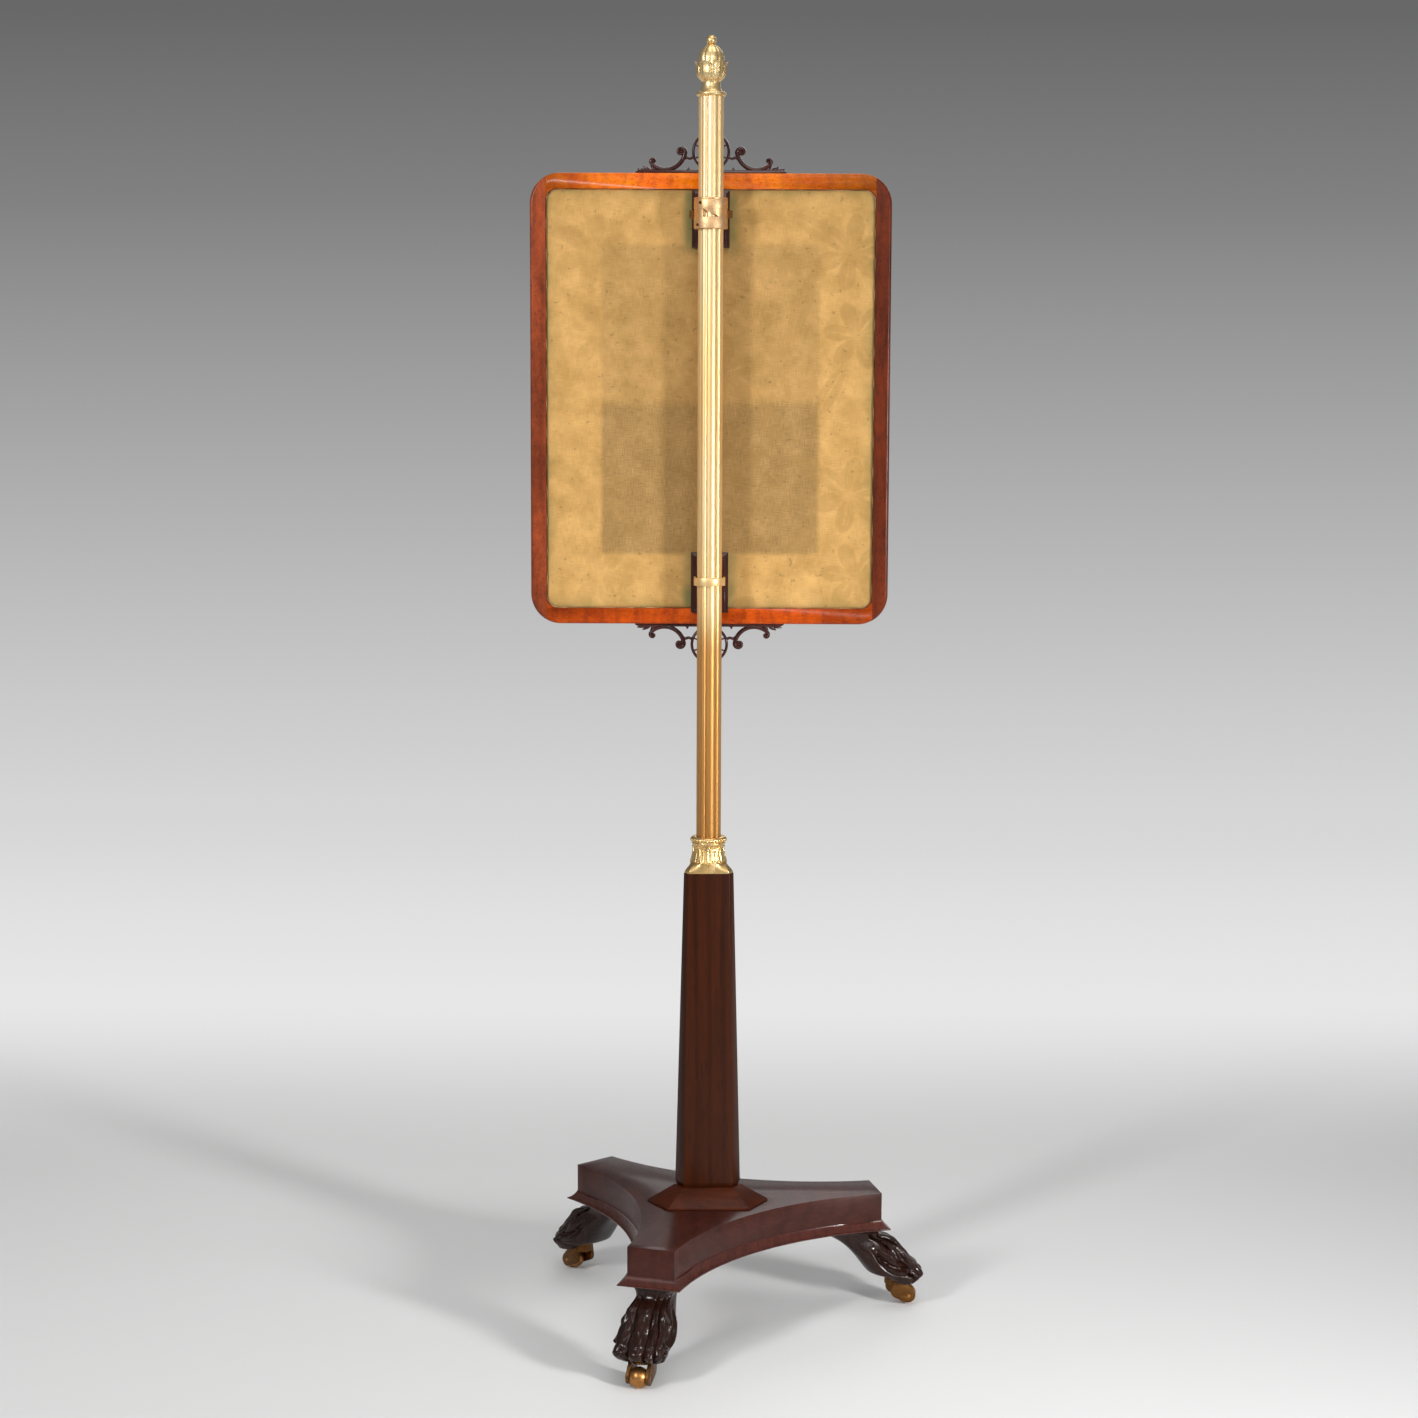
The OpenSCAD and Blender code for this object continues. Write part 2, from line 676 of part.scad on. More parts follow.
// Section of the frame's bar: square inner edge, rounded outer edges
module bar_section(w) {
    square([w - edge_r, frame_t]);
    translate([0, edge_r]) square([w, frame_t - 2 * edge_r]);
    for (y = [edge_r, frame_t - edge_r]) translate([w - edge_r, y]) circle(r = edge_r, $fn = 40);
}

// Quarter turn of the frame at one corner, about the frame's middle
module frame_corner(sx, sz) {
    mirror([sx < 0 ? 1 : 0, 0, 0]) mirror([0, 0, sz < 0 ? 1 : 0])
        translate([banner_w / 2 - corner_r, frame_t, banner_h / 2 - corner_r]) rotate([90, 0, 0])
            rotate_extrude(angle = 90) bar_section(corner_r);
}

module frame_opening() {
    cube([open_w, 3 * frame_t, open_h], center = true);
}

// A rail: a straight bar with the start of each corner, butted between the stiles
module rail_shape(side) {
    translate([0, frame_gap, banner_z + banner_h / 2]) difference() {
        union() {
            mirror([0, 0, side < 0 ? 1 : 0]) translate([corner_r - banner_w / 2, 0, banner_h / 2 - corner_r])
                rotate([90, 0, 90]) linear_extrude(banner_w - 2 * corner_r)
                    rotate(90) mirror([0, 1]) bar_section(corner_r);
            frame_corner(-1, side);
            frame_corner(1, side);
        }
        frame_opening();
        for (s = [-1, 1]) translate([s * (open_w / 2 + corner_r), 0, 0])
            cube([2 * corner_r, 3 * frame_t, 2 * banner_h], center = true);
    }
}

module rail(side) {
    color(veneer) on_axis() difference() {
        rail_shape(side);
        peg_shapes(turn_gap);
    }
}

module top_rail() { rail(1); }
module bottom_rail() { rail(-1); }

// A stile: the full height with both corners
module stile_shape(side) {
    translate([0, frame_gap, banner_z + banner_h / 2]) difference() {
        union() {
            mirror([side < 0 ? 1 : 0, 0, 0]) translate([banner_w / 2 - corner_r, 0, corner_r - banner_h / 2])
                linear_extrude(banner_h - 2 * corner_r) bar_section(corner_r);
            frame_corner(side, -1);
            frame_corner(side, 1);
        }
        frame_opening();
        cube([open_w, 3 * frame_t, 2 * banner_h], center = true);
    }
}

module stile(side) {
    color(rosewood) on_axis() difference() {
        stile_shape(side);
        panel_pin_shapes(turn_gap);
    }
}

module left_stile() { stile(-1); }
module right_stile() { stile(1); }

// A plate with rounded corners, standing upright in the frame's opening
module cloth_plate(y, t, inset) {
    w = strainer_w - 2 * inset;
    h = strainer_h - 2 * inset;
    translate([0, y, strainer_z + strainer_h / 2]) {
        translate([-w / 2 + cloth_r, 0, -h / 2]) cube([w - 2 * cloth_r, t, h]);
        translate([-w / 2, 0, -h / 2 + cloth_r]) cube([w, t, h - 2 * cloth_r]);
        for (sx = [-1, 1], sz = [-1, 1])
            translate([sx * (w / 2 - cloth_r), t, sz * (h / 2 - cloth_r)]) rotate([90, 0, 0])
                cylinder(r = cloth_r, h = t);
    }
}

module strainer_bar(low, size) {
    color(pine) on_axis() difference() {
        intersection() {
            cloth_plate(strainer_y, strainer_t, 0);
            translate([low.x, 0, low.y]) cube([size.x, 200, size.y]);
        }
        block_screw_shapes(turn_gap);
        panel_pin_shapes(turn_gap);
    }
}

module strainer_left() {
    strainer_bar([-strainer_w / 2, strainer_z], [bar_w, strainer_h]);
}

module strainer_right() {
    strainer_bar([strainer_w / 2 - bar_w, strainer_z], [bar_w, strainer_h]);
}

module strainer_top() {
    strainer_bar([bar_w - strainer_w / 2, strainer_z + strainer_h - bar_h], [strainer_w - 2 * bar_w, bar_h]);
}

module strainer_bottom() {
    strainer_bar([bar_w - strainer_w / 2, strainer_z], [strainer_w - 2 * bar_w, bar_h]);
}

module back_lining() {
    color(cloth) on_axis() difference() {
        cloth_plate(lining_y, cloth_t, 0.2);
        block_screw_shapes(rest_gap);
    }
}

module front_panel() {
    color(cloth) on_axis() cloth_plate(panel_y, cloth_t, 0.2);
}

// Steel pins through the strainer's edge into the frame
pin_d = 1.6;
pin_l = 22;

module panel_pin_shapes(grow) {
    for (s = [-1, 1], z = [0.18, 0.5, 0.82])
        translate([s * open_w / 2, strainer_y + strainer_t / 2, strainer_z + z * strainer_h])
            rotate([0, 90, 0]) cylinder(d = pin_d + 2 * grow, h = pin_l + 2 * grow, center = true, $fn = 24);
}

module panel_pins() {
    color("silver") on_axis() panel_pin_shapes(0);
}

// A band along part of a circle in the crest's plane
module scroll_arc(c, r, w, a0, a1) {
    far = 2 * (r + w);
    translate(c) intersection() {
        difference() {
            circle(r = r + w / 2);
            circle(r = r - w / 2);
        }
        polygon(concat([[0, 0]], [for (k = [0:4]) let (a = a0 + (a1 - a0) * k / 4) [far * cos(a), far * sin(a)]]));
    }
}

// Half of a crest's outline: strip with a leaf at its end, C-scroll with two volutes, link, cusp
module crest_half() {
    inner_eye = ring_r * [1.558, 1.093];
    outer_eye = ring_r * [2.977, 0.619];
    stem_c = ring_r * [2.358, 1.209];
    stem_r = 1.023 * ring_r;
    inner_r = 0.214 * ring_r;
    outer_r = 0.167 * ring_r;
    square([strip_l / 2 - 5, strip_h]);
    square([strip_l / 2, 0.5 * strip_h]);
    translate([outer_eye.x - 3, 0]) polygon([[0, 0], [17, 0], [14, 5.5], [8, 11], [5, 8]]);
    translate([stem_c.x, 0]) polygon([[-15, 0], [15, 0], [11, 6], [-9, 4.6]]);
    translate([ring_r + 3.5, strip_h - 0.1]) polygon([[-4, 0], [4, 0], [0, 3.6]]);
    scroll_arc(stem_c, stem_r, 1.1 * band_w, 187, 317);
    scroll_arc(inner_eye, inner_r, band_w, 5, 190);
    scroll_arc(inner_eye + 0.3 * [inner_r, 0], 0.7 * inner_r, 0.8 * band_w, -110, 10);
    translate(inner_eye + [0.2, -0.5] * inner_r) circle(r = 0.45 * inner_r, $fn = 40);
    scroll_arc(outer_eye, outer_r, 0.8 * band_w, -45, 190);
    scroll_arc(outer_eye - 0.35 * [outer_r, 0], 0.65 * outer_r, 0.7 * band_w, 180, 300);
    translate(outer_eye - [0, 0.5] * outer_r) circle(r = 0.4 * outer_r, $fn = 40);
    translate([0.9 * ring_r, ring_r - 6]) square([stem_c.x - stem_r + 1 - 0.9 * ring_r, 3.2]);
}

module crest() {
    ring_z = strip_h - 1 + ring_r;
    petal_r = 0.17 * ring_r;
    for (s = [0, 1]) mirror([s, 0]) crest_half();
    translate([0, ring_z]) {
        difference() {
            circle(r = ring_r);
            circle(r = ring_r - band_w);
        }
        for (k = [0:7]) rotate(45 * k + 22.5) translate([0.44 * ring_r, 0]) circle(r = petal_r, $fn = 40);
        circle(r = 0.36 * ring_r);
        for (k = [0:3]) rotate(90 * k + 22.5) translate([0.5 * ring_r, -1.2]) square([0.44 * ring_r, 2.4]);
    }
}

module crest_plate(z, flip) {
    translate([0, crest_y + crest_t, z]) rotate([90, 0, 0]) mirror([0, flip])
        linear_extrude(crest_t) crest();
}

peg_d = 3.4;
peg_l = 14;
peg_x = strip_l / 2 - 9;

module peg_shapes(grow) {
    for (s = [-1, 1], z = [banner_z, banner_top])
        translate([s * peg_x, frame_gap + frame_t / 2, z + (z > banner_z ? 1.5 : -1.5)])
            cylinder(d = peg_d + 2 * grow, h = 6 + 2 * grow, center = true, $fn = 32);
}

module crest_top() {
    color(rosewood) on_axis() difference() {
        crest_plate(banner_top, 0);
        peg_shapes(turn_gap);
    }
}

module crest_bottom() {
    color(rosewood) on_axis() difference() {
        crest_plate(banner_z, 1);
        peg_shapes(turn_gap);
    }
}

module crest_dowels() {
    color(pine) on_axis() peg_shapes(0);
}

// A block behind the pole with bevelled front edges
module bevelled_block(z, h) {
    b = block_bevel;
    depth = block_back - block_front;
    hull() {
        translate([-block_w / 2, block_front + b, z]) cube([block_w, depth - b, h]);
        translate([b - block_w / 2, block_front, z + b]) cube([block_w - 2 * b, 1, h - 2 * b]);
    }
}

// Two screws through the strainer hold each block
module block_screw_shapes(grow) {
    for (z = [upper_z + 14, upper_z + upper_h - 14, lower_z + 18, lower_z + lower_h - 14])
        translate([0, strainer_y + strainer_t + grow, z]) rotate([90, 0, 0]) {
            cylinder(r1 = 4 + grow, r2 = 1.8 + grow, h = 2.6, $fn = 40);
            cylinder(r = 1.8 + grow, h = strainer_t + 10 + 2 * grow, $fn = 40);
        }
}

module block_screws() {
    color("silver") on_axis() block_screw_shapes(0);
}

module upper_block() {
    color(rosewood) on_axis() difference() {
        bevelled_block(upper_z, upper_h);
        translate([0, 0, upper_z - 1]) cylinder(r = slide_r - slide_gap + 1.5, h = upper_h + 2);
        translate([0, 0, sleeve_z - sleeve_h / 2 - rest_gap])
            cylinder(d = sleeve_d + 2 * turn_gap, h = sleeve_h + 2 * rest_gap);
        block_screw_shapes(turn_gap);
    }
}

module lower_block() {
    color(rosewood) on_axis() difference() {
        bevelled_block(lower_z, lower_h);
        translate([-block_w, frame_gap - rest_gap, lower_z - 1])
            cube([2 * block_w, 50, block_lap + rest_gap + 1]);
        guide_shape(turn_gap);
        block_screw_shapes(turn_gap);
    }
}

// The strip behind the pole, room for its travel included when grown
module grip_shape(grow, travel) {
    translate([-grip_l / 2 - grow, strap_y - grow, sleeve_z - grip_h / 2 - grow])
        cube([grip_l + 2 * grow, grip_t + travel + 2 * grow, grip_h + 2 * grow]);
}

// The sleeve: two bands with a groove between, slotted for the grip spring, and a three-cornered
// window in front with the tongue that was struck from it
module slide_sleeve() {
    r = sleeve_d / 2;
    groove = 0.5;
    band = sleeve_h / 2 - grip_h / 2 - 0.6;
    color(brass) on_axis() difference() {
        translate([0, 0, sleeve_z - sleeve_h / 2]) rotate_extrude() polygon([
            [slide_r, 0], [r - 0.4, 0], [r, 0.6], [r, band], [r - groove, band + 0.4],
            [r - groove, sleeve_h - band - 0.4], [r, sleeve_h - band], [r, sleeve_h - 2.6],
            [r - groove, sleeve_h - 2.2], [r - groove, sleeve_h - 1.8], [r, sleeve_h - 1.4],
            [r, sleeve_h - 0.4], [r - 0.4, sleeve_h], [slide_r, sleeve_h]
        ]);
        grip_shape(rest_gap, grip_travel);
        translate([0, -r / 2, sleeve_z]) rotate([90, 0, 0]) linear_extrude(r)
            polygon([[-8.5, -grip_h / 2], [9, -grip_h / 2], [-8.5, grip_h / 2]]);
        rivet_shapes(turn_gap);
    }
}

// Rivets through the sleeve's two bands
module rivet_shapes(grow) {
    for (p = [[-51, -0.5 * sleeve_h + 4], [-39, 0.5 * sleeve_h - 6]])
        translate([0, 0, sleeve_z + p[1]]) rotate(p[0] - 90 + 90) rotate([90, 0, 0])
            translate([0, 0, slide_r + 0.3 - grow]) {
                cylinder(d = 2 + 2 * grow, h = sleeve_d / 2 - slide_r, $fn = 24);
                translate([0, 0, sleeve_d / 2 - slide_r - 0.6]) cylinder(d = 3.2 + 2 * grow, h = 0.8 + grow, $fn = 24);
            }
}

module sleeve_rivets() {
    color(bronze) on_axis() rivet_shapes(0);
}

// The grip spring: a strip behind the pole, with an ear at each end to pinch it by
module grip_spring() {
    ear = 7;
    color(brass) on_axis() {
        grip_shape(0, 0);
        for (s = [-1, 1]) translate([s * (grip_l / 2 - ear / 2), strap_y, sleeve_z])
            rotate([90, 0, 0]) translate([0, 0, -0.01]) linear_extrude(1.2)
                square([ear, grip_h], center = true);
    }
}

// The guide band: half round the front of the pole, with two legs into the lower block
module guide_outline(r, leg) {
    circle(r = r);
    translate([-r, 0]) square([2 * r, leg]);
}

module guide_shape(grow) {
    leg = block_front + 8 + grow;
    translate([0, 0, guide_z - grow]) linear_extrude(guide_h + 2 * grow) difference() {
        guide_outline(guide_r + guide_t + grow, leg);
        guide_outline(guide_r - grow, leg + 1);
    }
}

module guide_band() {
    color(brass) on_axis() guide_shape(0);
}

platform();
platform_moulding();
column_skirt();
column();
pole_socket();
foot_front_left();
foot_back_left();
foot_right();
foot_dowels();
castor_plate_front_left();
castor_plate_back_left();
castor_plate_right();
castor_screws();
castor_horn_front_left();
castor_horn_back_left();
castor_horn_right();
castor_axle_front_left();
castor_axle_back_left();
castor_axle_right();
castor_roller_front_left();
castor_roller_back_left();
castor_roller_right();
pole();
pole_spigot();
finial_plug();
finial_collar();
finial_cup();
finial_bud();
top_rail();
bottom_rail();
left_stile();
right_stile();
strainer_top();
strainer_bottom();
strainer_left();
strainer_right();
back_lining();
front_panel();
panel_pins();
crest_top();
crest_bottom();
crest_dowels();
upper_block();
lower_block();
block_screws();
slide_sleeve();
sleeve_rivets();
grip_spring();
guide_band();
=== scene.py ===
import json
from math import atan2, cos, hypot, pi, radians, sin, sqrt

import bmesh
import bpy
import numpy as np
from mathutils import Matrix, Vector


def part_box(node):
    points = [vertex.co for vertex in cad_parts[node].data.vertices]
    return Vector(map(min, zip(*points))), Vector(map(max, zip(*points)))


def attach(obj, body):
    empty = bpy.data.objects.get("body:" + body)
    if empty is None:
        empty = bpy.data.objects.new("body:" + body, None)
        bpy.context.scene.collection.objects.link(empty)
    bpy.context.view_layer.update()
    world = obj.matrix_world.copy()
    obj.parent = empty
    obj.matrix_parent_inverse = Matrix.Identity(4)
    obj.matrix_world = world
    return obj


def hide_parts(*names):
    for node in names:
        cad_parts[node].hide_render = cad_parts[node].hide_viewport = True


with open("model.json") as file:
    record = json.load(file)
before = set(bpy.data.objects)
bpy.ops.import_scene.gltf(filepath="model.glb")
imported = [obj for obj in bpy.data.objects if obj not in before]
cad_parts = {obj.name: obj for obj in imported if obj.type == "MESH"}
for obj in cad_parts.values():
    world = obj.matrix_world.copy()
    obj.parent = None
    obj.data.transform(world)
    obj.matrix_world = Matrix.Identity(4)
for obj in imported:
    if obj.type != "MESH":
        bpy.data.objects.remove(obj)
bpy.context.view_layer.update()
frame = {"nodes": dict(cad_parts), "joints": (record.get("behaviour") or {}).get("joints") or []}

nodes = frame["nodes"]


# The room: a pale floor that rises into a wall far behind the screen, as one sheet of studio paper; where it
# leaves the floor it glows for the camera and in reflections with painted light that grows darker up the wall. The
# camera stands 3.03 m from the pole, a little above the banner's foot.
pole_axis = Vector(next(j for j in frame["joints"] if j["name"] == "pole_turn")["pos_m"])
pole_axis.z = 0.0
camera_reach = 3.0284
camera_height = 1.0615
camera_tilt = 6.675
camera_roll = 0.215
focal_px = 2705.9
photo_px = 1418


def srgb(r, g, b):
    """A colour written as it is seen, 0 to 255, turned into the shader's linear values."""
    def linear(v):
        v /= 255.0
        return v / 12.92 if v <= 0.04045 else ((v + 0.055) / 1.055) ** 2.4
    return (linear(r), linear(g), linear(b), 1.0)


def add(tree, kind, sockets=None, **settings):
    """Puts a shader node in a tree and sets or wires its inputs."""
    made = tree.nodes.new("ShaderNode" + kind)
    for name, value in settings.items():
        setattr(made, name, value)
    for name, value in (sockets or {}).items():
        if isinstance(value, bpy.types.NodeSocket):
            tree.links.new(value, made.inputs[name])
        else:
            made.inputs[name].default_value = value
    return made


def spread(tree, value, low, high, soft=False, to=(0.0, 1.0)):
    """A value taken from low..high to the range to and held there; soft eases its ends."""
    kind = "SMOOTHSTEP" if soft else "LINEAR"
    limits = {"Value": value, "From Min": low, "From Max": high, "To Min": to[0], "To Max": to[1]}
    return add(tree, "MapRange", limits, interpolation_type=kind).outputs[0]


def ramp(tree, fac, stops, interpolation="LINEAR"):
    """A colour ramp over a value, with its stops as (place, colour)."""
    made = add(tree, "ValToRGB", {"Fac": fac})
    band = made.color_ramp
    band.interpolation = interpolation
    while len(band.elements) < len(stops):
        band.elements.new(1.0)
    for element, (place, colour) in zip(band.elements, stops):
        element.position = place
        element.color = colour
    return made.outputs["Color"]


def maths(tree, operation, a, b=0.0, c=0.0, clamp=False):
    made = add(tree, "Math", {0: a, 1: b, 2: c}, operation=operation)
    made.use_clamp = clamp
    return made.outputs[0]


def fresh_material(name):
    """A new material, its node tree and its Principled shader."""
    made = bpy.data.materials.new(name)
    made.use_nodes = True
    tree = made.node_tree
    return made, tree, tree.nodes["Principled BSDF"]


def linked(name, data):
    """A new object in the scene."""
    made = bpy.data.objects.new(name, data)
    bpy.context.scene.collection.objects.link(made)
    return made


def mesh_piece(name, points, faces, material=None):
    """A finished mesh object, linked and shaded smooth."""
    mesh = bpy.data.meshes.new(name)
    mesh.from_pydata([tuple(p) for p in points], [], faces)
    mesh.update()
    mesh.shade_smooth()
    if material:
        mesh.materials.append(material)
    return linked(name, mesh)


paper_profile = [(-6.0, 0.0), (-3.0, 0.0), (0.0, 0.0), (1.6, 0.0), (3.2, 0.0)]
paper_profile += [(3.2 + sin(radians(a)), 1.0 - cos(radians(a))) for a in range(6, 91, 6)]
paper_profile += [(4.2, 2.0), (4.2, 4.5)]
paper_run = [paper_profile[0][0]]
for (y0, z0), (y1, z1) in zip(paper_profile, paper_profile[1:]):
    paper_run.append(paper_run[-1] + sqrt((y1 - y0) ** 2 + (z1 - z0) ** 2))
paper_points = [pole_axis + Vector((x, y, z)) for y, z in paper_profile for x in (-5.0, 5.0)]
paper_faces = [(2 * i, 2 * i + 1, 2 * i + 3, 2 * i + 2) for i in range(len(paper_profile) - 1)]

paper_look, tree, shader = fresh_material("studio_paper")
run = add(tree, "Attribute", attribute_name="run").outputs["Fac"]
# Painted light: the paper's brightness along its run, near white on the floor and darkening up the wall, shown by
# the glow below
painted_backdrop_greys = [(0.9, 242), (1.64, 231), (2.58, 223), (3.56, 213), (3.93, 203), (4.27, 189),
         (4.81, 161), (5.33, 129), (5.82, 104), (7.0, 84)]
tone = ramp(tree, maths(tree, "DIVIDE", run, 8.0), [(r / 8.0, srgb(g, g, g)) for r, g in painted_backdrop_greys])
painted_backdrop_glow = add(tree, "Emission", {"Color": tone, "Strength": 1.0}).outputs[0]
shader.inputs["Base Color"].default_value = srgb(219, 219, 219)
shader.inputs["Roughness"].default_value = 0.9
shader.inputs["Specular IOR Level"].default_value = 0.1
far = spread(tree, run, 0.55, 1.7, soft=True)
rays = add(tree, "LightPath")
seen = maths(tree, "MAXIMUM", rays.outputs["Is Camera Ray"], rays.outputs["Is Glossy Ray"])
share = maths(tree, "MULTIPLY", far, seen)
blend = add(tree, "MixShader", {0: share, 1: shader.outputs[0], 2: painted_backdrop_glow}).outputs[0]
tree.links.new(blend, tree.nodes["Material Output"].inputs["Surface"])
paper = mesh_piece("studio_paper", paper_points, paper_faces, paper_look)
runs = paper.data.attributes.new("run", "FLOAT", "POINT")
runs.data.foreach_set("value", [r for r in paper_run for _ in range(2)])

room = bpy.data.worlds.new("room")
bpy.context.scene.world = room
room.use_nodes = True
room_tree = room.node_tree
sky = room_tree.nodes["Background"]
sky.inputs["Color"].default_value = srgb(206, 206, 206)
sky.inputs["Strength"].default_value = 0.42
plain = add(room_tree, "Background", {"Color": srgb(200, 200, 200), "Strength": 1.0})
rays = add(room_tree, "LightPath")
blend = add(room_tree, "MixShader", {0: rays.outputs["Is Camera Ray"], 1: sky.outputs[0], 2: plain.outputs[0]})
room_tree.links.new(blend.outputs[0], room_tree.nodes["World Output"].inputs["Surface"])


def lamp(name, place, size, power, aim, spread=180.0):
    """A soft box: a square area lamp turned towards a point."""
    light = bpy.data.lights.new(name, "AREA")
    light.shape = "RECTANGLE"
    light.size, light.size_y = size
    light.energy = power
    light.spread = radians(spread)
    made = linked(name, light)
    made.location = pole_axis + Vector(place)
    made.rotation_euler = (pole_axis + Vector(aim) - made.location).to_track_quat("-Z", "Y").to_euler()


lamp("key_box", (-1.75, -2.1, 1.9), (0.36, 0.9), 41.0, (0.0, 0.0, 1.0))
lamp("front_box", (0.35, -2.9, 2.3), (0.9, 1.2), 14.0, (0.0, 0.0, 0.9))
lamp("side_box", (1.9, -1.9, 0.95), (0.3, 0.5), 11.0, (0.0, 0.0, 0.05), spread=70.0)
lamp("top_box", (0.3, -0.4, 3.2), (1.6, 1.6), 18.0, (0.0, 0.0, 0.0))
lamp("back_box", (0.4, 2.6, 2.2), (1.6, 1.2), 14.0, (0.0, 0.0, 0.8))

camera_data = bpy.data.cameras.new("camera")
camera_data.sensor_fit = "HORIZONTAL"
camera_data.sensor_width = 36.0
camera_data.lens = focal_px / photo_px * 36.0
camera = linked("camera", camera_data)
camera.matrix_world = (
    Matrix.Translation(pole_axis + Vector((0.0, -camera_reach, camera_height)))
    @ Matrix.Rotation(radians(90.0 - camera_tilt), 4, "X")
    @ Matrix.Rotation(radians(camera_roll), 4, "Z")
)
bpy.context.scene.camera = camera
bpy.context.scene.view_settings.view_transform = "Standard"


# The plinth: a solid three-armed block with concave sides, veneered in dark rosewood and French
# polished, with its arrises worn soft. It carries everything else.
rosewood_light = srgb(124, 58, 34)
rosewood_mid = srgb(82, 36, 22)
rosewood_dark = srgb(40, 17, 13)
plinth_bevel = 0.0012


def mixed(tree, fac, a, b, blend="MIX"):
    made = add(tree, "Mix", data_type="RGBA", blend_type=blend)
    for index, value in ((0, fac), (6, a), (7, b)):
        if isinstance(value, bpy.types.NodeSocket):
            tree.links.new(value, made.inputs[index])
        else:
            made.inputs[index].default_value = value
    return made.outputs[2]


def weighed(tree, a, share_a, b, share_b):
    """Sum of two values, each times its share."""
    return maths(tree, "ADD", maths(tree, "MULTIPLY", a, share_a), maths(tree, "MULTIPLY", b, share_b))


def noise(tree, place, scale, detail=2.0, **more):
    """A noise texture's value over place."""
    return add(tree, "TexNoise", {"Vector": place, "Scale": scale, "Detail": detail, **more}).outputs["Fac"]


def group(name, inputs, outputs):
    """An empty shader group with named sockets, given as (name, kind, value)."""
    made = bpy.data.node_groups.new(name, "ShaderNodeTree")
    for socket, kind, value in inputs:
        made_in = made.interface.new_socket(socket, in_out="INPUT", socket_type="NodeSocket" + kind)
        if value is not None:
            made_in.default_value = value
    for socket, kind in outputs:
        made.interface.new_socket(socket, in_out="OUTPUT", socket_type="NodeSocket" + kind)
    return made, made.nodes.new("NodeGroupInput").outputs, made.nodes.new("NodeGroupOutput").inputs


# Figure of a hardwood: long streaks, dark veins and short pores along the stretched axis
wood_figure, given, put = group(
    "wood_figure",
    [("Vector", "Vector", None), ("Light", "Color", rosewood_light), ("Mid", "Color", rosewood_mid),
     ("Dark", "Color", rosewood_dark), ("Veins", "Float", 0.5), ("Gloss", "Float", 0.26)],
    [("Color", "Color"), ("Roughness", "Float"), ("Height", "Float")],
)
streak = noise(wood_figure, given["Vector"], 1.0, 5.0, Roughness=0.62, Distortion=0.6)
fine = noise(wood_figure, given["Vector"], 5.5, 3.0, Roughness=0.7)
vein = add(wood_figure, "TexWave", {"Vector": given["Vector"], "Scale": 0.55, "Distortion": 7.0, "Detail": 3.0,
                                    "Detail Scale": 0.7}, wave_type="BANDS", bands_direction="X").outputs["Fac"]
pores = noise(wood_figure, given["Vector"], 16.0, 2.0)
body_fac = weighed(wood_figure, streak, 0.62, fine, 0.38)
body_mask = spread(wood_figure, body_fac, 0.34, 0.66)
ground = mixed(wood_figure, body_mask, given["Mid"], given["Light"])
vein_mask = spread(wood_figure, vein, 0.62, 0.98, soft=True)
veined = mixed(wood_figure, maths(wood_figure, "MULTIPLY", vein_mask, given["Veins"]), ground, given["Dark"])
pore_mask = spread(wood_figure, pores, 0.56, 0.7)
pored = mixed(wood_figure, maths(wood_figure, "MULTIPLY", pore_mask, 0.45), veined, given["Dark"])
wood_figure.links.new(pored, put["Color"])
dulled = maths(wood_figure, "MULTIPLY_ADD", pore_mask, 0.14, given["Gloss"])
wood_figure.links.new(dulled, put["Roughness"])
sunk = maths(wood_figure, "MULTIPLY_ADD", pore_mask, -0.5, streak)
wood_figure.links.new(sunk, put["Height"])


def wood(name, stretch, veins, gloss, tones, coat=0.12, shine=0.14):
    """A polished wood: stretch is how fine the figure is along X, Y and Z, tones are light, mid and dark."""
    made, tree, shader = fresh_material(name)
    place = add(tree, "TexCoord").outputs["Object"]
    grain = add(tree, "Mapping", {"Vector": place, "Scale": stretch}).outputs[0]
    figure = add(tree, "Group", node_tree=wood_figure)
    light, mid, dark = (srgb(*tone) for tone in tones)
    given = {"Light": light, "Mid": mid, "Dark": dark, "Veins": veins, "Gloss": gloss}
    for socket, value in given.items():
        figure.inputs[socket].default_value = value
    tree.links.new(grain, figure.inputs["Vector"])
    tree.links.new(figure.outputs["Color"], shader.inputs["Base Color"])
    tree.links.new(figure.outputs["Roughness"], shader.inputs["Roughness"])
    relief = add(tree, "Bump", {"Height": figure.outputs["Height"], "Strength": 0.12, "Distance": 0.0006})
    tree.links.new(relief.outputs[0], shader.inputs["Normal"])
    shader.inputs["Specular IOR Level"].default_value = shine
    shader.inputs["Coat Weight"].default_value = coat
    shader.inputs["Coat Roughness"].default_value = 0.14
    return made


def finished(piece):
    """The piece's mesh with its modifiers worked in; the modifiers are then taken off."""
    made = bpy.data.meshes.new_from_object(piece.evaluated_get(bpy.context.evaluated_depsgraph_get()))
    piece.modifiers.clear()
    return made


def settled(work, name):
    """The mesh of a bmesh, which is freed."""
    mesh = bpy.data.meshes.new(name)
    work.to_mesh(mesh)
    work.free()
    return mesh


def merged(node):
    """A CAD node's mesh with its loose triangles joined, to work on."""
    work = bmesh.new()
    work.from_mesh(nodes[node].data)
    bmesh.ops.remove_doubles(work, verts=work.verts, dist=1e-6)
    return work


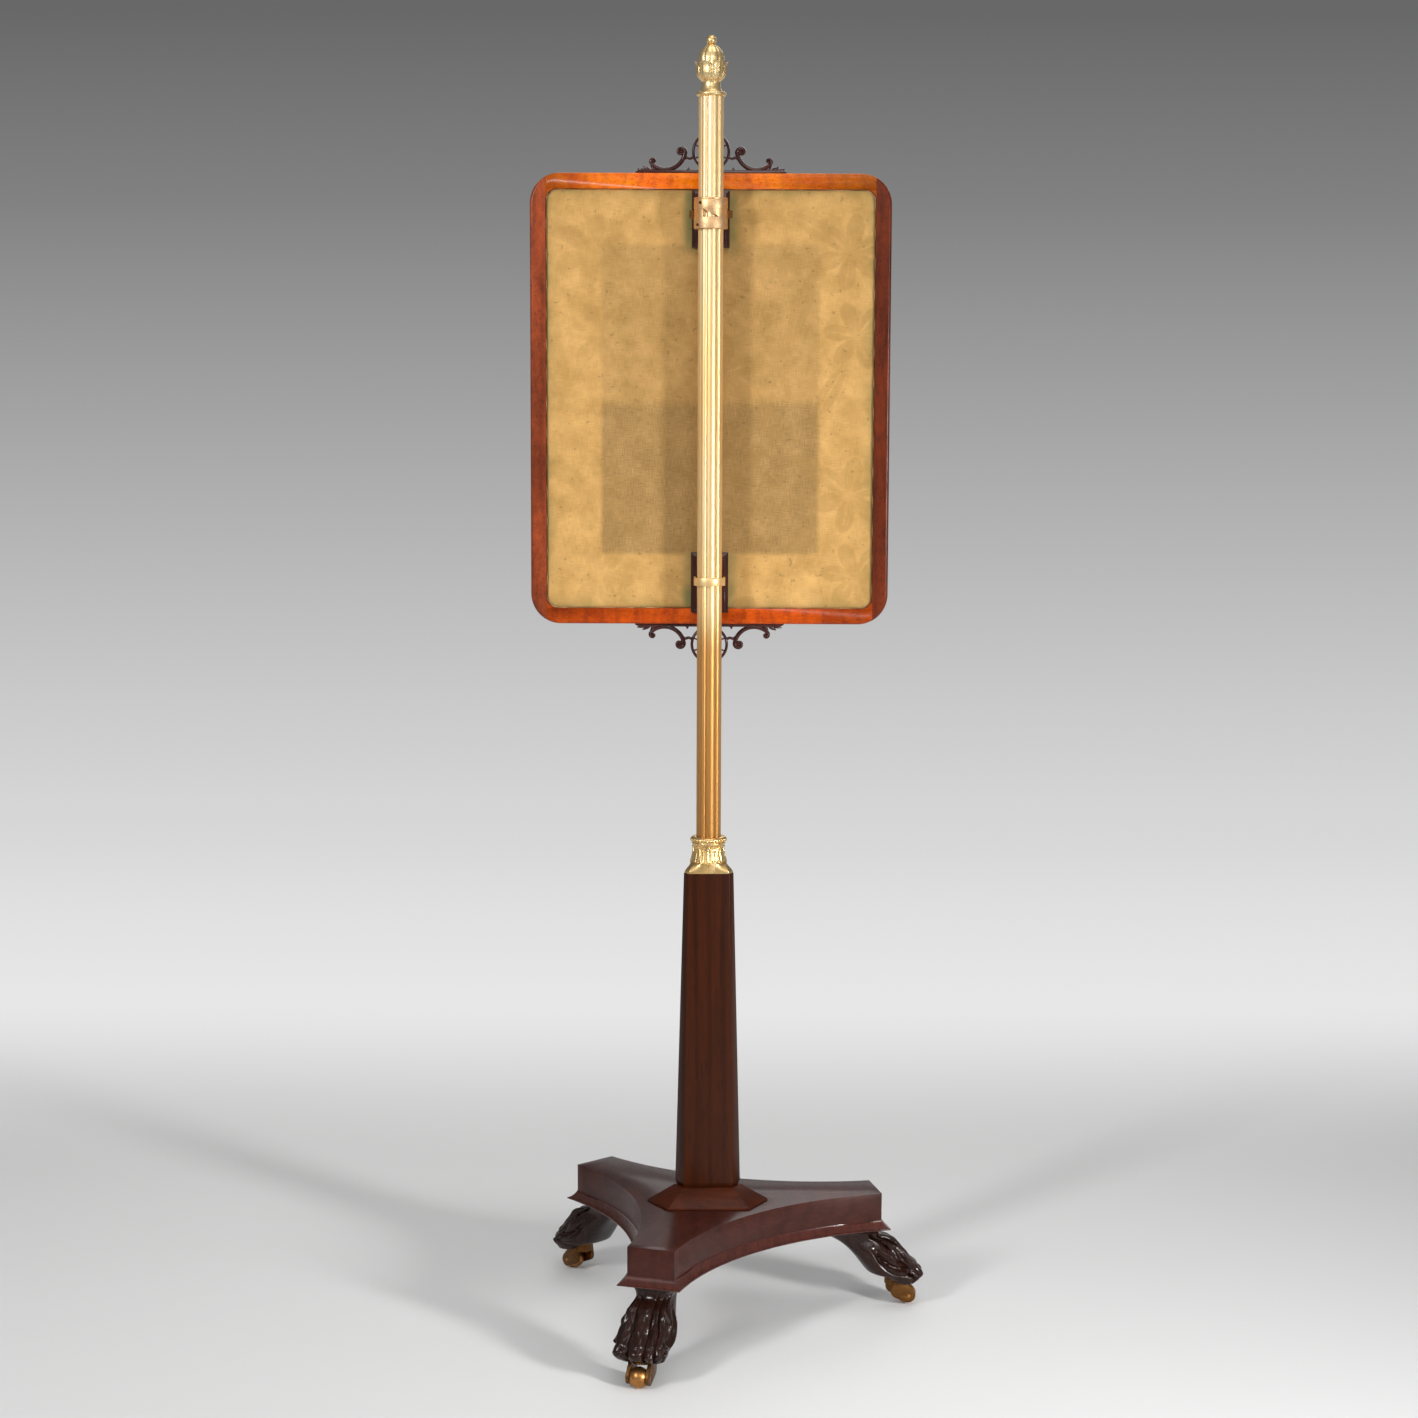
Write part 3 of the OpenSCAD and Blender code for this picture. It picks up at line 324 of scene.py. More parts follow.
def eased(node, bevel):
    """A copy of a CAD node with its facets merged and its arrises rounded."""
    work = merged(node)
    bmesh.ops.dissolve_limit(work, angle_limit=radians(0.6), verts=work.verts, edges=work.edges)
    piece = linked(node + "_eased", settled(work, node + "_eased"))
    rounding = piece.modifiers.new("arrises", "BEVEL")
    rounding.width = bevel
    rounding.segments = 2
    rounding.limit_method = "ANGLE"
    rounding.angle_limit = radians(28.0)
    piece.data = finished(piece)
    piece.data.shade_smooth()
    piece.data.set_sharp_from_angle(angle=radians(32.0))
    return piece


def dress(piece, material, body=None, replaced=()):
    """Gives a piece its finish, its body and the CAD nodes that it stands for."""
    piece.data.materials.clear()
    piece.data.materials.append(material)
    if body:
        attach(piece, body)
    if replaced:
        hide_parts(*replaced)
    return piece


plinth_wood = wood("plinth_rosewood", (22.0, 22.0, 60.0), veins=0.22, gloss=0.3,
                   tones=((70, 34, 26), (48, 23, 18), (26, 12, 10)))
dress(eased("platform", plinth_bevel), plinth_wood, "stand", ["platform"])


# The cove moulding: strips of solid rosewood mitred round the plinth's lower edge and run out
# to a thin lip, glued to the block.
moulding_wood = wood("moulding_rosewood", (60.0, 60.0, 60.0), veins=0.2, gloss=0.26, coat=0.5,
                     tones=((80, 38, 30), (54, 26, 21), (28, 13, 11)))
dress(nodes["platform_moulding"], moulding_wood)


# The paw feet: carved from solid rosewood, stained nearly black and polished. Each has five toes,
# tufts of hair between a brow and the knuckles, and a curled lock along both sides; two beech
# dowels hold it under the plinth.
paw_wood = wood("paw_rosewood", (60.0, 60.0, 60.0), veins=0.3, gloss=0.26, coat=0.3, shine=0.12,
                tones=((44, 21, 14), (28, 14, 10), (13, 7, 6)))
beech = wood("beech", (90.0, 90.0, 12.0), veins=0.1, gloss=0.5, coat=0.0,
             tones=((214, 176, 128), (188, 146, 98), (140, 100, 62)))
corners = ("front_left", "back_left", "right")
toe_clear = 29.0
seat_radius, seat_depth = 16.0, 6.5
# Height above the toes' underside, back, front and half width, in millimetres from the pivot
paw_profile = [
    (0.0, -2.5, 17.1, 24.5), (1.0, -6.4, 22.2, 27.3), (4.1, -11.4, 27.9, 29.5), (6.9, -14.0, 30.9, 30.7),
    (10.0, -15.9, 32.0, 31.1), (10.9, -25.4, 32.0, 31.2), (12.1, -32.4, 31.9, 31.2), (14.1, -36.4, 31.4, 31.2),
    (19.0, -40.4, 28.4, 30.6), (23.0, -43.4, 23.6, 29.8), (27.0, -46.4, 18.0, 28.8), (31.0, -49.4, 13.6, 27.8),
    (37.0, -54.4, 9.5, 26.3), (43.0, -59.9, 5.1, 24.3), (48.0, -65.3, 0.0, 22.3), (52.0, -70.5, -6.0, 20.8),
    (55.0, -74.9, -14.0, 20.0), (57.0, -78.0, -19.9, 19.8), (63.0, -87.0, -22.5, 21.5), (69.0, -95.0, -23.0, 26.0),
]
paw_rows, paw_columns = 110, 240


def smooth(value, low, high):
    """From 0 below low to 1 above high, with soft ends."""
    t = np.clip((value - low) / (high - low), 0.0, 1.0)
    return t * t * (3.0 - 2.0 * t)


def bump(value, width):
    """1 where value is 0, fading to nothing over a few widths."""
    return np.exp(-((value / width) ** 2))


def paw_relief(x, z, a):
    """How far the carving stands out of the paw's rough shape, in millimetres."""
    front = np.abs(a)
    crest = np.abs(np.cos(np.radians(6.0 * a)))
    toe = np.round(a / 30.0)
    toes = smooth(front, 84.0, 72.0)
    low = smooth(z, 66.0, 52.0)
    groove = -5.6 * (1.0 - crest ** 0.8) * low
    sway = 3.2 * np.sin(z / 5.0 + 2.1 * toe)
    locks = 0.9 * np.cos(np.radians(24.0 * (a + sway))) * smooth(z, 15.0, 24.0) * smooth(z, 60.0, 50.0)
    drop = 2.5 * np.abs(toe)
    knuckles = (2.2 * bump(z - 52.0 + drop, 5.0) + 1.6 * bump(z - 33.0 + 0.6 * drop, 5.5)
                - 1.5 * bump(z - 18.0, 2.0) + 1.0 * bump(z - 9.5, 5.0)) * crest
    claws = toes * (groove + locks + knuckles)
    sides = 1.3 * smooth(front, 62.0, 80.0) * smooth(x, -38.0, -26.0)
    ridge_z = 16.0 + 17.0 * np.clip((15.0 - x) / 42.0, 0.0, 1.6) ** 3.2
    ridge = 2.8 * bump(z - ridge_z, 1.7) - 2.0 * bump(z - ridge_z - 4.2, 2.0) - 0.8 * bump(z - ridge_z + 4.0, 2.2)
    along = ((x + 9.0) * 27.0 - (z - 35.0) * 12.0) / 29.5
    across = ((x + 9.0) * 12.0 + (z - 35.0) * 27.0) / 29.5
    lobe = 3.4 * bump(along, 13.0) * bump(across, 4.4) - 1.2 * bump(across - 7.0, 1.8) * bump(along, 15.0)
    curls = sum(2.3 * bump(np.hypot(x - cx, z - cz) - size, 1.1) + 1.2 * bump(np.hypot(x - cx, z - cz), 1.3)
                for cx, cz, size in ((-9.0, 52.0, 3.6), (2.0, 44.0, 3.0)))
    return claws + sides * (ridge + lobe + curls) - 0.9 * low


def taken(piece, mesh=None):
    """A mesh of a piece that is only a step on the way, by default its own; the piece is removed."""
    mesh = mesh or piece.data
    bpy.data.objects.remove(piece)
    return mesh


def carved_paw():
    """One paw about its castor's pivot, toes towards +X."""
    rough = np.array(paw_profile)
    t = np.linspace(0, len(rough) - 1, paw_rows)
    rows = np.stack([np.interp(t, range(len(rough)), rough[:, k]) for k in range(4)], 1)
    for _ in range(3):
        rows[1:-1] = 0.25 * rows[:-2] + 0.5 * rows[1:-1] + 0.25 * rows[2:]
    a = np.linspace(-180.0, 180.0, paw_columns, endpoint=False)[None, :]
    z, back, tip, half = (rows[:, k:k + 1] for k in range(4))
    round_by = 0.88 - 0.4 * z / 69.0
    c, s = np.cos(np.radians(a)), np.sin(np.radians(a))
    ux, uy = np.sign(c) * np.abs(c) ** round_by, np.sign(s) * np.abs(s) ** round_by
    x, y = (back + tip) / 2 + (tip - back) / 2 * ux, half * uy
    out = paw_relief(x, z + 0 * a, a + 0 * z)
    out = out * smooth(z, 0.0, 4.0)
    x, y = x + out * c, y + out * s
    points = np.stack([x, y, z + toe_clear + 0 * a], 2).reshape(-1, 3) / 1000.0
    faces = [(i * paw_columns + j, i * paw_columns + (j + 1) % paw_columns,
              (i + 1) * paw_columns + (j + 1) % paw_columns, (i + 1) * paw_columns + j)
             for i in range(paw_rows - 1) for j in range(paw_columns)]
    faces.append(tuple(range(paw_columns - 1, -1, -1)))
    faces.append(tuple((paw_rows - 1) * paw_columns + j for j in range(paw_columns)))
    piece = mesh_piece("paw", points, faces)
    work = bmesh.new()
    bmesh.ops.create_cone(work, cap_ends=True, segments=64, radius1=seat_radius / 1000, radius2=seat_radius / 1000,
                          depth=seat_depth / 1000 + 0.004,
                          matrix=Matrix.Translation((0, 0, (toe_clear + seat_depth / 2 - 2) / 1000)))
    cutter = linked("seat_cutter", settled(work, "seat_cutter"))
    cut = piece.modifiers.new("seat", "BOOLEAN")
    cut.operation = "DIFFERENCE"
    cut.object = cutter
    cut.solver = "EXACT"
    done = taken(piece, finished(piece))
    bpy.data.objects.remove(cutter)
    return done


paw_mesh = carved_paw()
paw_mesh.shade_smooth()
paw_mesh.set_sharp_from_angle(angle=radians(50.0))
for corner in corners:
    pivot = next(j for j in frame["joints"] if j["name"] == "swivel_" + corner)["pos_m"]
    outward = Vector((pivot[0], pivot[1], 0.0)) - pole_axis
    placed = paw_mesh.copy()
    placed.transform(Matrix.Translation((pivot[0], pivot[1], 0.0))
                     @ Matrix.Rotation(atan2(outward.y, outward.x), 4, "Z"))
    dress(linked("paw_" + corner, placed), paw_wood, "stand", ["foot_" + corner])
dress(nodes["foot_dowels"], beech)


# The castors: cast and turned brass, browned with age, each on a riveted pivot under its foot.
brass_bright = srgb(232, 200, 140)
brass_warm = srgb(206, 160, 92)
brass_brown = srgb(96, 62, 34)

# Tarnish on brass: blotches, fine scratches and a brown film, from 0, clean, to 1, dull
tarnish, given, put = group(
    "brass_tarnish",
    [("Vector", "Vector", None), ("Bright", "Color", brass_bright), ("Warm", "Color", brass_warm),
     ("Brown", "Color", brass_brown), ("Film", "Float", 0.3), ("Polish", "Float", 0.24)],
    [("Color", "Color"), ("Roughness", "Float"), ("Height", "Float")],
)
blotch = noise(tarnish, given["Vector"], 60.0, 4.0, Roughness=0.6)
speck = noise(tarnish, given["Vector"], 600.0, 2.0)
tint = mixed(tarnish, spread(tarnish, blotch, 0.35, 0.65),
             given["Warm"], given["Bright"])
patches = spread(tarnish, weighed(tarnish, blotch, 0.7, speck, 0.3), 0.42, 0.66)
film = maths(tarnish, "MULTIPLY", given["Film"], patches, clamp=True)
tarnish.links.new(mixed(tarnish, film, tint, given["Brown"]), put["Color"])
tarnish.links.new(maths(tarnish, "MULTIPLY_ADD", film, 0.25, given["Polish"]), put["Roughness"])
tarnish.links.new(blotch, put["Height"])


def brass(name, bright, warm, film, polish, brown=brass_brown, bump=0.06, stretch=(1.0, 1.0, 1.0)):
    """Brass with its lacquer worn and its tarnish uneven; film is how much of it is brown."""
    made, tree, shader = fresh_material(name)
    place = add(tree, "TexCoord").outputs["Object"]
    drawn = add(tree, "Mapping", {"Vector": place, "Scale": stretch}).outputs[0]
    skin = add(tree, "Group", node_tree=tarnish)
    given = {"Bright": bright, "Warm": warm, "Brown": brown, "Film": film, "Polish": polish}
    for socket, value in given.items():
        skin.inputs[socket].default_value = value
    tree.links.new(drawn, skin.inputs["Vector"])
    tree.links.new(skin.outputs["Color"], shader.inputs["Base Color"])
    tree.links.new(skin.outputs["Roughness"], shader.inputs["Roughness"])
    relief = add(tree, "Bump", {"Height": skin.outputs["Height"], "Strength": bump, "Distance": 0.0004})
    tree.links.new(relief.outputs[0], shader.inputs["Normal"])
    shader.inputs["Metallic"].default_value = 1.0
    return made


castor_brass = brass("castor_brass", warm=srgb(176, 118, 62), bright=srgb(206, 152, 92), film=0.8, polish=0.3)
horn_brass = brass("horn_brass", warm=srgb(104, 68, 36), bright=srgb(140, 98, 54), brown=srgb(46, 30, 18),
                   film=0.8, polish=0.34)
roller_arris, horn_arris = 0.0003, 0.0006
for corner in corners:
    roller, horn = "castor_roller_" + corner, "castor_horn_" + corner
    dress(eased(roller, roller_arris), castor_brass, "roller_" + corner, [roller])
    dress(eased(horn, horn_arris), horn_brass, "horn_" + corner, [horn])
    dress(nodes["castor_axle_" + corner], castor_brass)
    dress(nodes["castor_plate_" + corner], horn_brass)
dress(nodes["castor_screws"], horn_brass)


# The column: six-sided, tapered, veneered in straight-grained rosewood over a pine core, on a
# sloping skirt of the same wood.
column_arris, skirt_arris = 0.0014, 0.0008
column_wood = wood("column_rosewood", (34.0, 34.0, 3.2), veins=0.35, gloss=0.34, coat=0.07, shine=0.1,
                   tones=((62, 27, 9), (44, 18, 6), (24, 10, 5)))
dress(eased("column", column_arris), column_wood, "stand", ["column"])
skirt_wood = wood("skirt_rosewood", (9.0, 40.0, 40.0), veins=0.3, gloss=0.36, coat=0.07, shine=0.1,
                  tones=((72, 27, 7), (46, 17, 5), (24, 10, 5)))
dress(eased("column_skirt", skirt_arris), skirt_wood, "stand", ["column_skirt"])


# The socket: a cast and chased brass mount, six-sided below to fit the column, with eight
# upright leaves and a rim of gadroons round the pole's foot.
cast_brass = brass("cast_brass", bright=srgb(244, 214, 154), warm=srgb(226, 182, 112), film=0.5, polish=0.32,
                   bump=0.05)
socket_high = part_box("pole_socket")[1]
socket_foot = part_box("column")[1].z
socket_rise = socket_high.z - socket_foot
socket_wide, socket_narrow, socket_turn = 45.6, 9.5, 2.0
socket_neck = 17.2
socket_columns = 288


def six_sided(a, wide, narrow, turn):
    """Distance from the middle to a six-sided outline in the direction a, in millimetres."""
    nearest = []
    for reach, first in (((wide + 2 * narrow) / (2 * sqrt(3)), 90), ((narrow + 2 * wide) / (2 * sqrt(3)), -90)):
        leans = [cos(radians(a - 120 * k + first - turn)) for k in range(3)]
        nearest += [reach / lean if lean > 0.2 else 1e3 for lean in leans]
    return min(nearest)


def ring_loft(name, rings, loop=False):
    """A closed skin through rings of points; with loop the last ring meets the first."""
    n = len(rings[0])
    points = [p for ring in rings for p in ring]
    faces = []
    for i in range(len(rings) if loop else len(rings) - 1):
        here, there = i * n, (i + 1) % len(rings) * n
        faces += [(here + j, here + (j + 1) % n, there + (j + 1) % n, there + j) for j in range(n)]
    if not loop:
        faces += [tuple(range(n - 1, -1, -1)), tuple((len(rings) - 1) * n + j for j in range(n))]
    return mesh_piece(name, points, faces)


def turned_ring(z, radius, n):
    """A ring of n points about the pole's axis; radius is a number or a function of the angle."""
    made = []
    for j in range(n):
        a = 360.0 * j / n
        r = (radius(a) if callable(radius) else radius) / 1000.0
        made.append((pole_axis.x + r * cos(radians(a)), pole_axis.y + r * sin(radians(a)), z))
    return made


def curve_through(stops, t):
    """Value at t on a smooth line through (t, value) stops."""
    xs, ys = [s[0] for s in stops], [s[1] for s in stops]
    fine = np.linspace(xs[0], xs[-1], 200)
    line = np.interp(fine, xs, ys)
    for _ in range(12):
        line[1:-1] = 0.25 * line[:-2] + 0.5 * line[1:-1] + 0.25 * line[2:]
    return float(np.interp(t, fine, line))


socket_profile = [(0.0, 1.24), (0.05, 1.16), (0.14, 1.1), (0.3, 1.03), (0.45, 0.975), (0.56, 0.96), (0.64, 1.0),
                  (0.72, 1.09), (0.78, 1.12), (0.8, 1.06), (0.83, 1.07), (0.86, 1.16), (0.94, 1.17), (1.0, 1.06)]


def leaf_height(u, a):
    """Upright leaves: pointed above, rounded below, each with a midrib, and smaller ones between."""
    out = 0.0
    for turn, top, wide, proud in ((0.0, 0.66, 20.0, 1.15), (22.5, 0.5, 17.0, 0.6)):
        phi = (a - turn + 22.5) % 45.0 - 22.5
        v = (u - 0.04) / (top - 0.04)
        if 0.0 < v < 1.0:
            half = wide * sqrt(v * 3.2) * (1 - v) ** 0.6 if v > 0 else 0.0
            inside = max(0.0, min(1.0, (half - abs(phi)) / 2.5))
            out = max(out, inside * (proud + 0.5 * v - 0.45 * np.exp(-((phi / 1.6) ** 2))))
    return float(out)


def foot_reach(a, t):
    """The socket's foot, from the column's six sides at t = 0 to round at t = 1."""
    shape = t ** 1.4
    swell = 0.7 * t * (1 - t) * 4 * abs(cos(radians(4 * a))) - 0.5 * t
    return (1 - shape) * six_sided(a, socket_wide, socket_narrow, socket_turn) + shape * socket_neck * 1.2 + swell


def body_reach(a, u):
    """The socket's body: its turned profile with the leaves, and gadroons nicked into its rim."""
    nick = 0.35 * (abs(cos(radians(14 * a))) < 0.3) * (0.84 < u < 0.98)
    return socket_neck * curve_through(socket_profile, u) + leaf_height(u, a) - nick


rings = []
base_share, foot_edge = 0.27, 0.0008
for t in np.linspace(0.0, 1.0, 14):
    lift = foot_edge + (base_share * socket_rise - foot_edge) * t if t else 0.0
    rings.append(turned_ring(socket_foot + lift, lambda a, t=t: foot_reach(a, t), socket_columns))
body_foot = socket_foot + base_share * socket_rise
for u in np.linspace(0.01, 1.0, 60):
    rings.append(turned_ring(body_foot + (1 - base_share) * socket_rise * u, lambda a, u=u: body_reach(a, u),
                             socket_columns))
pole_seat, pole_room, spigot_room = 0.010, 14.15, 8.1
for z, r in ((socket_high.z, pole_room), (socket_high.z - pole_seat, pole_room),
             (socket_high.z - pole_seat, spigot_room), (socket_foot, spigot_room)):
    rings.append(turned_ring(z, r, socket_columns))
socket = ring_loft("socket_mount", rings, loop=True)

# Beads set in a ring: a geometry tree whose sizes are its named inputs
bead_ring = bpy.data.node_groups.new("bead_ring", "GeometryNodeTree")
bead_ring.is_modifier = True
bead_ring.interface.new_socket("Geometry", in_out="INPUT", socket_type="NodeSocketGeometry")
for socket_name, kind, value in (("Count", "Int", 24), ("Reach", "Float", 0.02),
                                 ("Size", "Vector", (0.001, 0.001, 0.001)), ("Finish", "Material", None)):
    made = bead_ring.interface.new_socket(socket_name, in_out="INPUT", socket_type="NodeSocket" + kind)
    if value is not None:
        made.default_value = value
bead_ring.interface.new_socket("Geometry", in_out="OUTPUT", socket_type="NodeSocketGeometry")
inlet = bead_ring.nodes.new("NodeGroupInput").outputs
outlet = bead_ring.nodes.new("NodeGroupOutput").inputs


def geo(kind, sockets, **settings):
    """Puts a node in the bead tree, sets or wires its inputs and gives its first output."""
    made = bead_ring.nodes.new(kind)
    for key, value in settings.items():
        setattr(made, key, value)
    for key, value in sockets.items():
        if isinstance(value, bpy.types.NodeSocket):
            bead_ring.links.new(value, made.inputs[key])
        else:
            made.inputs[key].default_value = value
    return made.outputs[0]


circle = geo("GeometryNodeMeshCircle", {"Vertices": inlet["Count"], "Radius": inlet["Reach"]})
bead = geo("GeometryNodeMeshUVSphere", {"Segments": 14, "Rings": 9, "Radius": 1.0})
outwards = geo("FunctionNodeAlignRotationToVector", {"Vector": geo("GeometryNodeInputPosition", {})}, axis="X")
beads = geo("GeometryNodeInstanceOnPoints", {"Points": circle, "Instance": bead, "Rotation": outwards,
                                             "Scale": inlet["Size"]})
solid_beads = geo("GeometryNodeRealizeInstances", {"Geometry": beads})
shaded = geo("GeometryNodeSetShadeSmooth", {"Geometry": solid_beads})
dressed = geo("GeometryNodeSetMaterial", {"Geometry": shaded, "Material": inlet["Finish"]})
bead_ring.links.new(dressed, outlet["Geometry"])


def beads_round(name, count, reach, size, finish, place):
    """A mesh of beads in a ring, put in its place; sizes are in metres."""
    holder = mesh_piece(name, [(0, 0, 0)], [])
    maker = holder.modifiers.new("beads", "NODES")
    maker.node_group = bead_ring
    named = {item.name: item.identifier for item in bead_ring.interface.items_tree
             if item.item_type == "SOCKET" and item.in_out == "INPUT"}
    for socket, value in (("Count", count), ("Reach", reach), ("Size", size), ("Finish", finish)):
        maker[named[socket]] = value
    done = taken(holder, finished(holder))
    done.transform(place)
    return done


def gathered(name, meshes):
    """One piece from several meshes, each closed, with its faces turned outwards."""
    whole = bmesh.new()
    for mesh in meshes:
        work = bmesh.new()
        work.from_mesh(mesh)
        bmesh.ops.recalc_face_normals(work, faces=work.faces)
        for face in work.faces:
            face.smooth = True
            face.material_index = 0
        whole.from_mesh(settled(work, name + "_part"))
    mesh = settled(whole, name)
    mesh.set_sharp_from_angle(angle=radians(45.0))
    return linked(name, mesh)


rim_beads = beads_round("rim_beads", 30, 0.0197, (0.0010, 0.0019, 0.0021), cast_brass,
                        Matrix.Translation((pole_axis.x, pole_axis.y, socket_high.z - 0.0034)))
dress(gathered("leafy_socket", [taken(socket), rim_beads]), cast_brass, "stand", ["pole_socket"])


# The pole: a drawn brass tube with four wide reeds and beads between them, on a beech spigot
# that turns in the column; a beech plug in its top takes the finial's stem.
def toned(material, along, start, end, tones):
    """Multiplies a material's colour along an axis: tones gives (share of the way, red, green, blue)."""
    tree = material.node_tree
    colour = tree.nodes["Principled BSDF"].inputs["Base Color"]
    place = add(tree, "SeparateXYZ", {0: add(tree, "TexCoord").outputs["Object"]}).outputs[along]
    tone = ramp(tree, spread(tree, place, start, end), [(at, (r, g, b, 1.0)) for at, r, g, b in tones], "EASE")
    tree.links.new(mixed(tree, 1.0, colour.links[0].from_socket, tone, "MULTIPLY"), colour)


pole_brass = brass("pole_brass", bright=srgb(255, 232, 186), warm=srgb(240, 206, 148), film=0.22, polish=0.4,
                   stretch=(1.0, 1.0, 0.12), bump=0.02)
# The brass is tinted darker and browner below the banner and paler above it
toned(pole_brass, 2, 0.5, 1.4, [(0.0, 0.48, 0.3, 0.14), (0.3, 0.62, 0.42, 0.23), (0.37, 0.97, 0.88, 0.74),
                                (0.7, 0.98, 0.9, 0.78), (0.82, 1.0, 0.97, 0.93)])
pole_brass.node_tree.nodes["Principled BSDF"].inputs["Metallic"].default_value = 0.72
dress(nodes["pole"], pole_brass)
dress(nodes["pole_spigot"], beech)
dress(nodes["finial_plug"], beech)


# The finial: a turned ring, a cup of six chased leaves whose tips curl outwards, and a bud of
# ten furled petals with a ball, cast in brass and lacquered.
collar_arris = 0.0002
finial_brass = brass("finial_brass", bright=srgb(250, 224, 170), warm=srgb(232, 194, 128), film=0.25, polish=0.36,
                     bump=0.03)
dress(eased("finial_collar", collar_arris), finial_brass, "pole_assembly", ["finial_collar"])
cup_low, cup_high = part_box("finial_cup")
cup_rise = cup_high.z - cup_low.z
cup_columns = 240
cup_floor, stem_hole = 0.66, 4.1
cup_profile = [(0.0, 12.4), (0.07, 11.2), (0.17, 10.3), (0.3, 10.0), (0.35, 10.7), (0.4, 12.6), (0.49, 15.0),
               (0.6, 16.2), (0.72, 16.5), (0.84, 16.2)]


def leaf_tip(a):
    """1 at the tip of one of the cup's six leaves, 0 in the notch between two."""
    return abs(cos(radians(3 * a)))


def cup_edge(a):
    """Height of the cup's edge, which rises to each leaf's tip."""
    return cup_low.z + cup_rise * (0.8 + 0.195 * leaf_tip(a) ** 0.8)


def cup_skin(a, u):
    """The cup's radius in millimetres: a turned profile with notches, ribs and hollows for its leaves."""
    phi = (a + 30.0) % 60.0 - 30.0
    leafy = min(1.0, max(0.0, (u - 0.38) / 0.12))
    notch = 1.3 * (1 - leaf_tip(a) ** 0.3) * leafy
    rib = 0.4 * leafy * np.exp(-((phi / 2.4) ** 2))
    hollow = 0.35 * leafy * np.exp(-(((abs(phi) - 11.0) / 5.0) ** 2))
    return curve_through(cup_profile, u) - notch + rib - hollow


rings = []
for u in np.linspace(0.0, 0.76, 46):
    rings.append(turned_ring(cup_low.z + cup_rise * u, lambda a, u=u: cup_skin(a, u), cup_columns))
lip_from, lip_out, lip_thick = 0.76, 2.0, 1.1
columns_turn = np.arange(cup_columns) * 360.0 / cup_columns
lip_low = cup_low.z + lip_from * cup_rise
for t in (0.4, 0.75, 1.0):
    flat = turned_ring(0.0, lambda a, t=t: cup_skin(a, lip_from) + t * t * lip_out * leaf_tip(a), cup_columns)
    rings.append([(x, y, (1 - t) * lip_low + t * cup_edge(a)) for (x, y, _), a in zip(flat, columns_turn)])
flat = turned_ring(0.0, lambda a: cup_skin(a, lip_from) - lip_thick + 1.6 * leaf_tip(a), cup_columns)
rings.append([(x, y, cup_edge(a) - 0.0005) for (x, y, _), a in zip(flat, columns_turn)])
for u, r in ((0.8, 14.9), (cup_floor, 13.6), (cup_floor, stem_hole), (0.0, stem_hole)):
    rings.append(turned_ring(cup_low.z + cup_rise * u, r, cup_columns))
cup_mesh = taken(ring_loft("leaf_cup", rings, loop=True))
dress(gathered("leaf_cup", [cup_mesh]), finial_brass, "pole_assembly", ["finial_cup"])

bud_low, bud_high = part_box("finial_bud")
ball_radius = 0.00565
stem_radius = 4.0
bud_foot = cup_low.z + cup_floor * cup_rise
bud_rise = 0.029
bud_profile = [(0.0, 12.6), (0.2, 13.8), (0.4, 14.3), (0.55, 14.1), (0.7, 12.9), (0.82, 10.9), (0.91, 8.5),
               (0.97, 6.2), (1.0, 4.8)]


def bud_skin(a, u):
    """Furled petals: rounded ridges that narrow to the top."""
    ridge = abs(cos(radians(5 * a)))
    return curve_through(bud_profile, u) - 1.1 * (1 - ridge ** 0.8) * (1 - 0.45 * u)


rings = [turned_ring(bud_foot + bud_rise * u, lambda a, u=u: bud_skin(a, u), cup_columns)
         for u in np.linspace(0, 1, 50)]
bud_parts = [taken(ring_loft("bud", rings)),
             taken(ring_loft("stem", [turned_ring(z, stem_radius, 48) for z in (bud_low.z, bud_foot + 0.001)]))]
work = bmesh.new()
bmesh.ops.create_uvsphere(work, u_segments=48, v_segments=32, radius=ball_radius,
                          matrix=Matrix.Translation((pole_axis.x, pole_axis.y, bud_high.z - ball_radius)))
bud_parts.append(settled(work, "ball"))
dress(gathered("petal_bud", bud_parts), finial_brass, "pole_assembly", ["finial_bud"])


# The banner's frame: two stiles and two rails, rounded outside and veneered with rosewood whose
# tone changes along each length, with a rounded fillet in each inner corner.
def banded(name, along, across, shades, stretch, **finish):
    """A veneer whose tone changes along it: shades gives (place in metres, colour factor)."""
    made = wood(name, stretch, **finish)
    start, end = across
    toned(made, along, start, end, [((at - start) / (end - start), t, t * 0.94, t * 0.9) for at, t in shades])
    return made


mid_x = pole_axis.x
top_veneer = banded("top_rail_veneer", 0, (mid_x - 0.21, mid_x + 0.21),
                    [(mid_x - 0.21, 0.3), (mid_x - 0.168, 0.55), (mid_x - 0.119, 0.95), (mid_x - 0.03, 1.15),
                     (mid_x + 0.06, 0.92), (mid_x + 0.102, 0.7), (mid_x + 0.158, 0.5), (mid_x + 0.187, 0.36)],
                    (30.0, 40.0, 46.0), veins=0.16, gloss=0.3,
                    tones=((255, 140, 12), (216, 88, 14), (104, 36, 14)))
foot_veneer = banded("bottom_rail_veneer", 0, (mid_x - 0.21, mid_x + 0.21),
                     [(mid_x - 0.21, 0.42), (mid_x - 0.165, 0.62), (mid_x - 0.109, 0.8), (mid_x - 0.02, 0.95),
                      (mid_x + 0.09, 0.9), (mid_x + 0.16, 0.55)],
                     (30.0, 40.0, 46.0), veins=0.2, gloss=0.3,
                     tones=((230, 98, 10), (168, 60, 12), (70, 26, 12)))
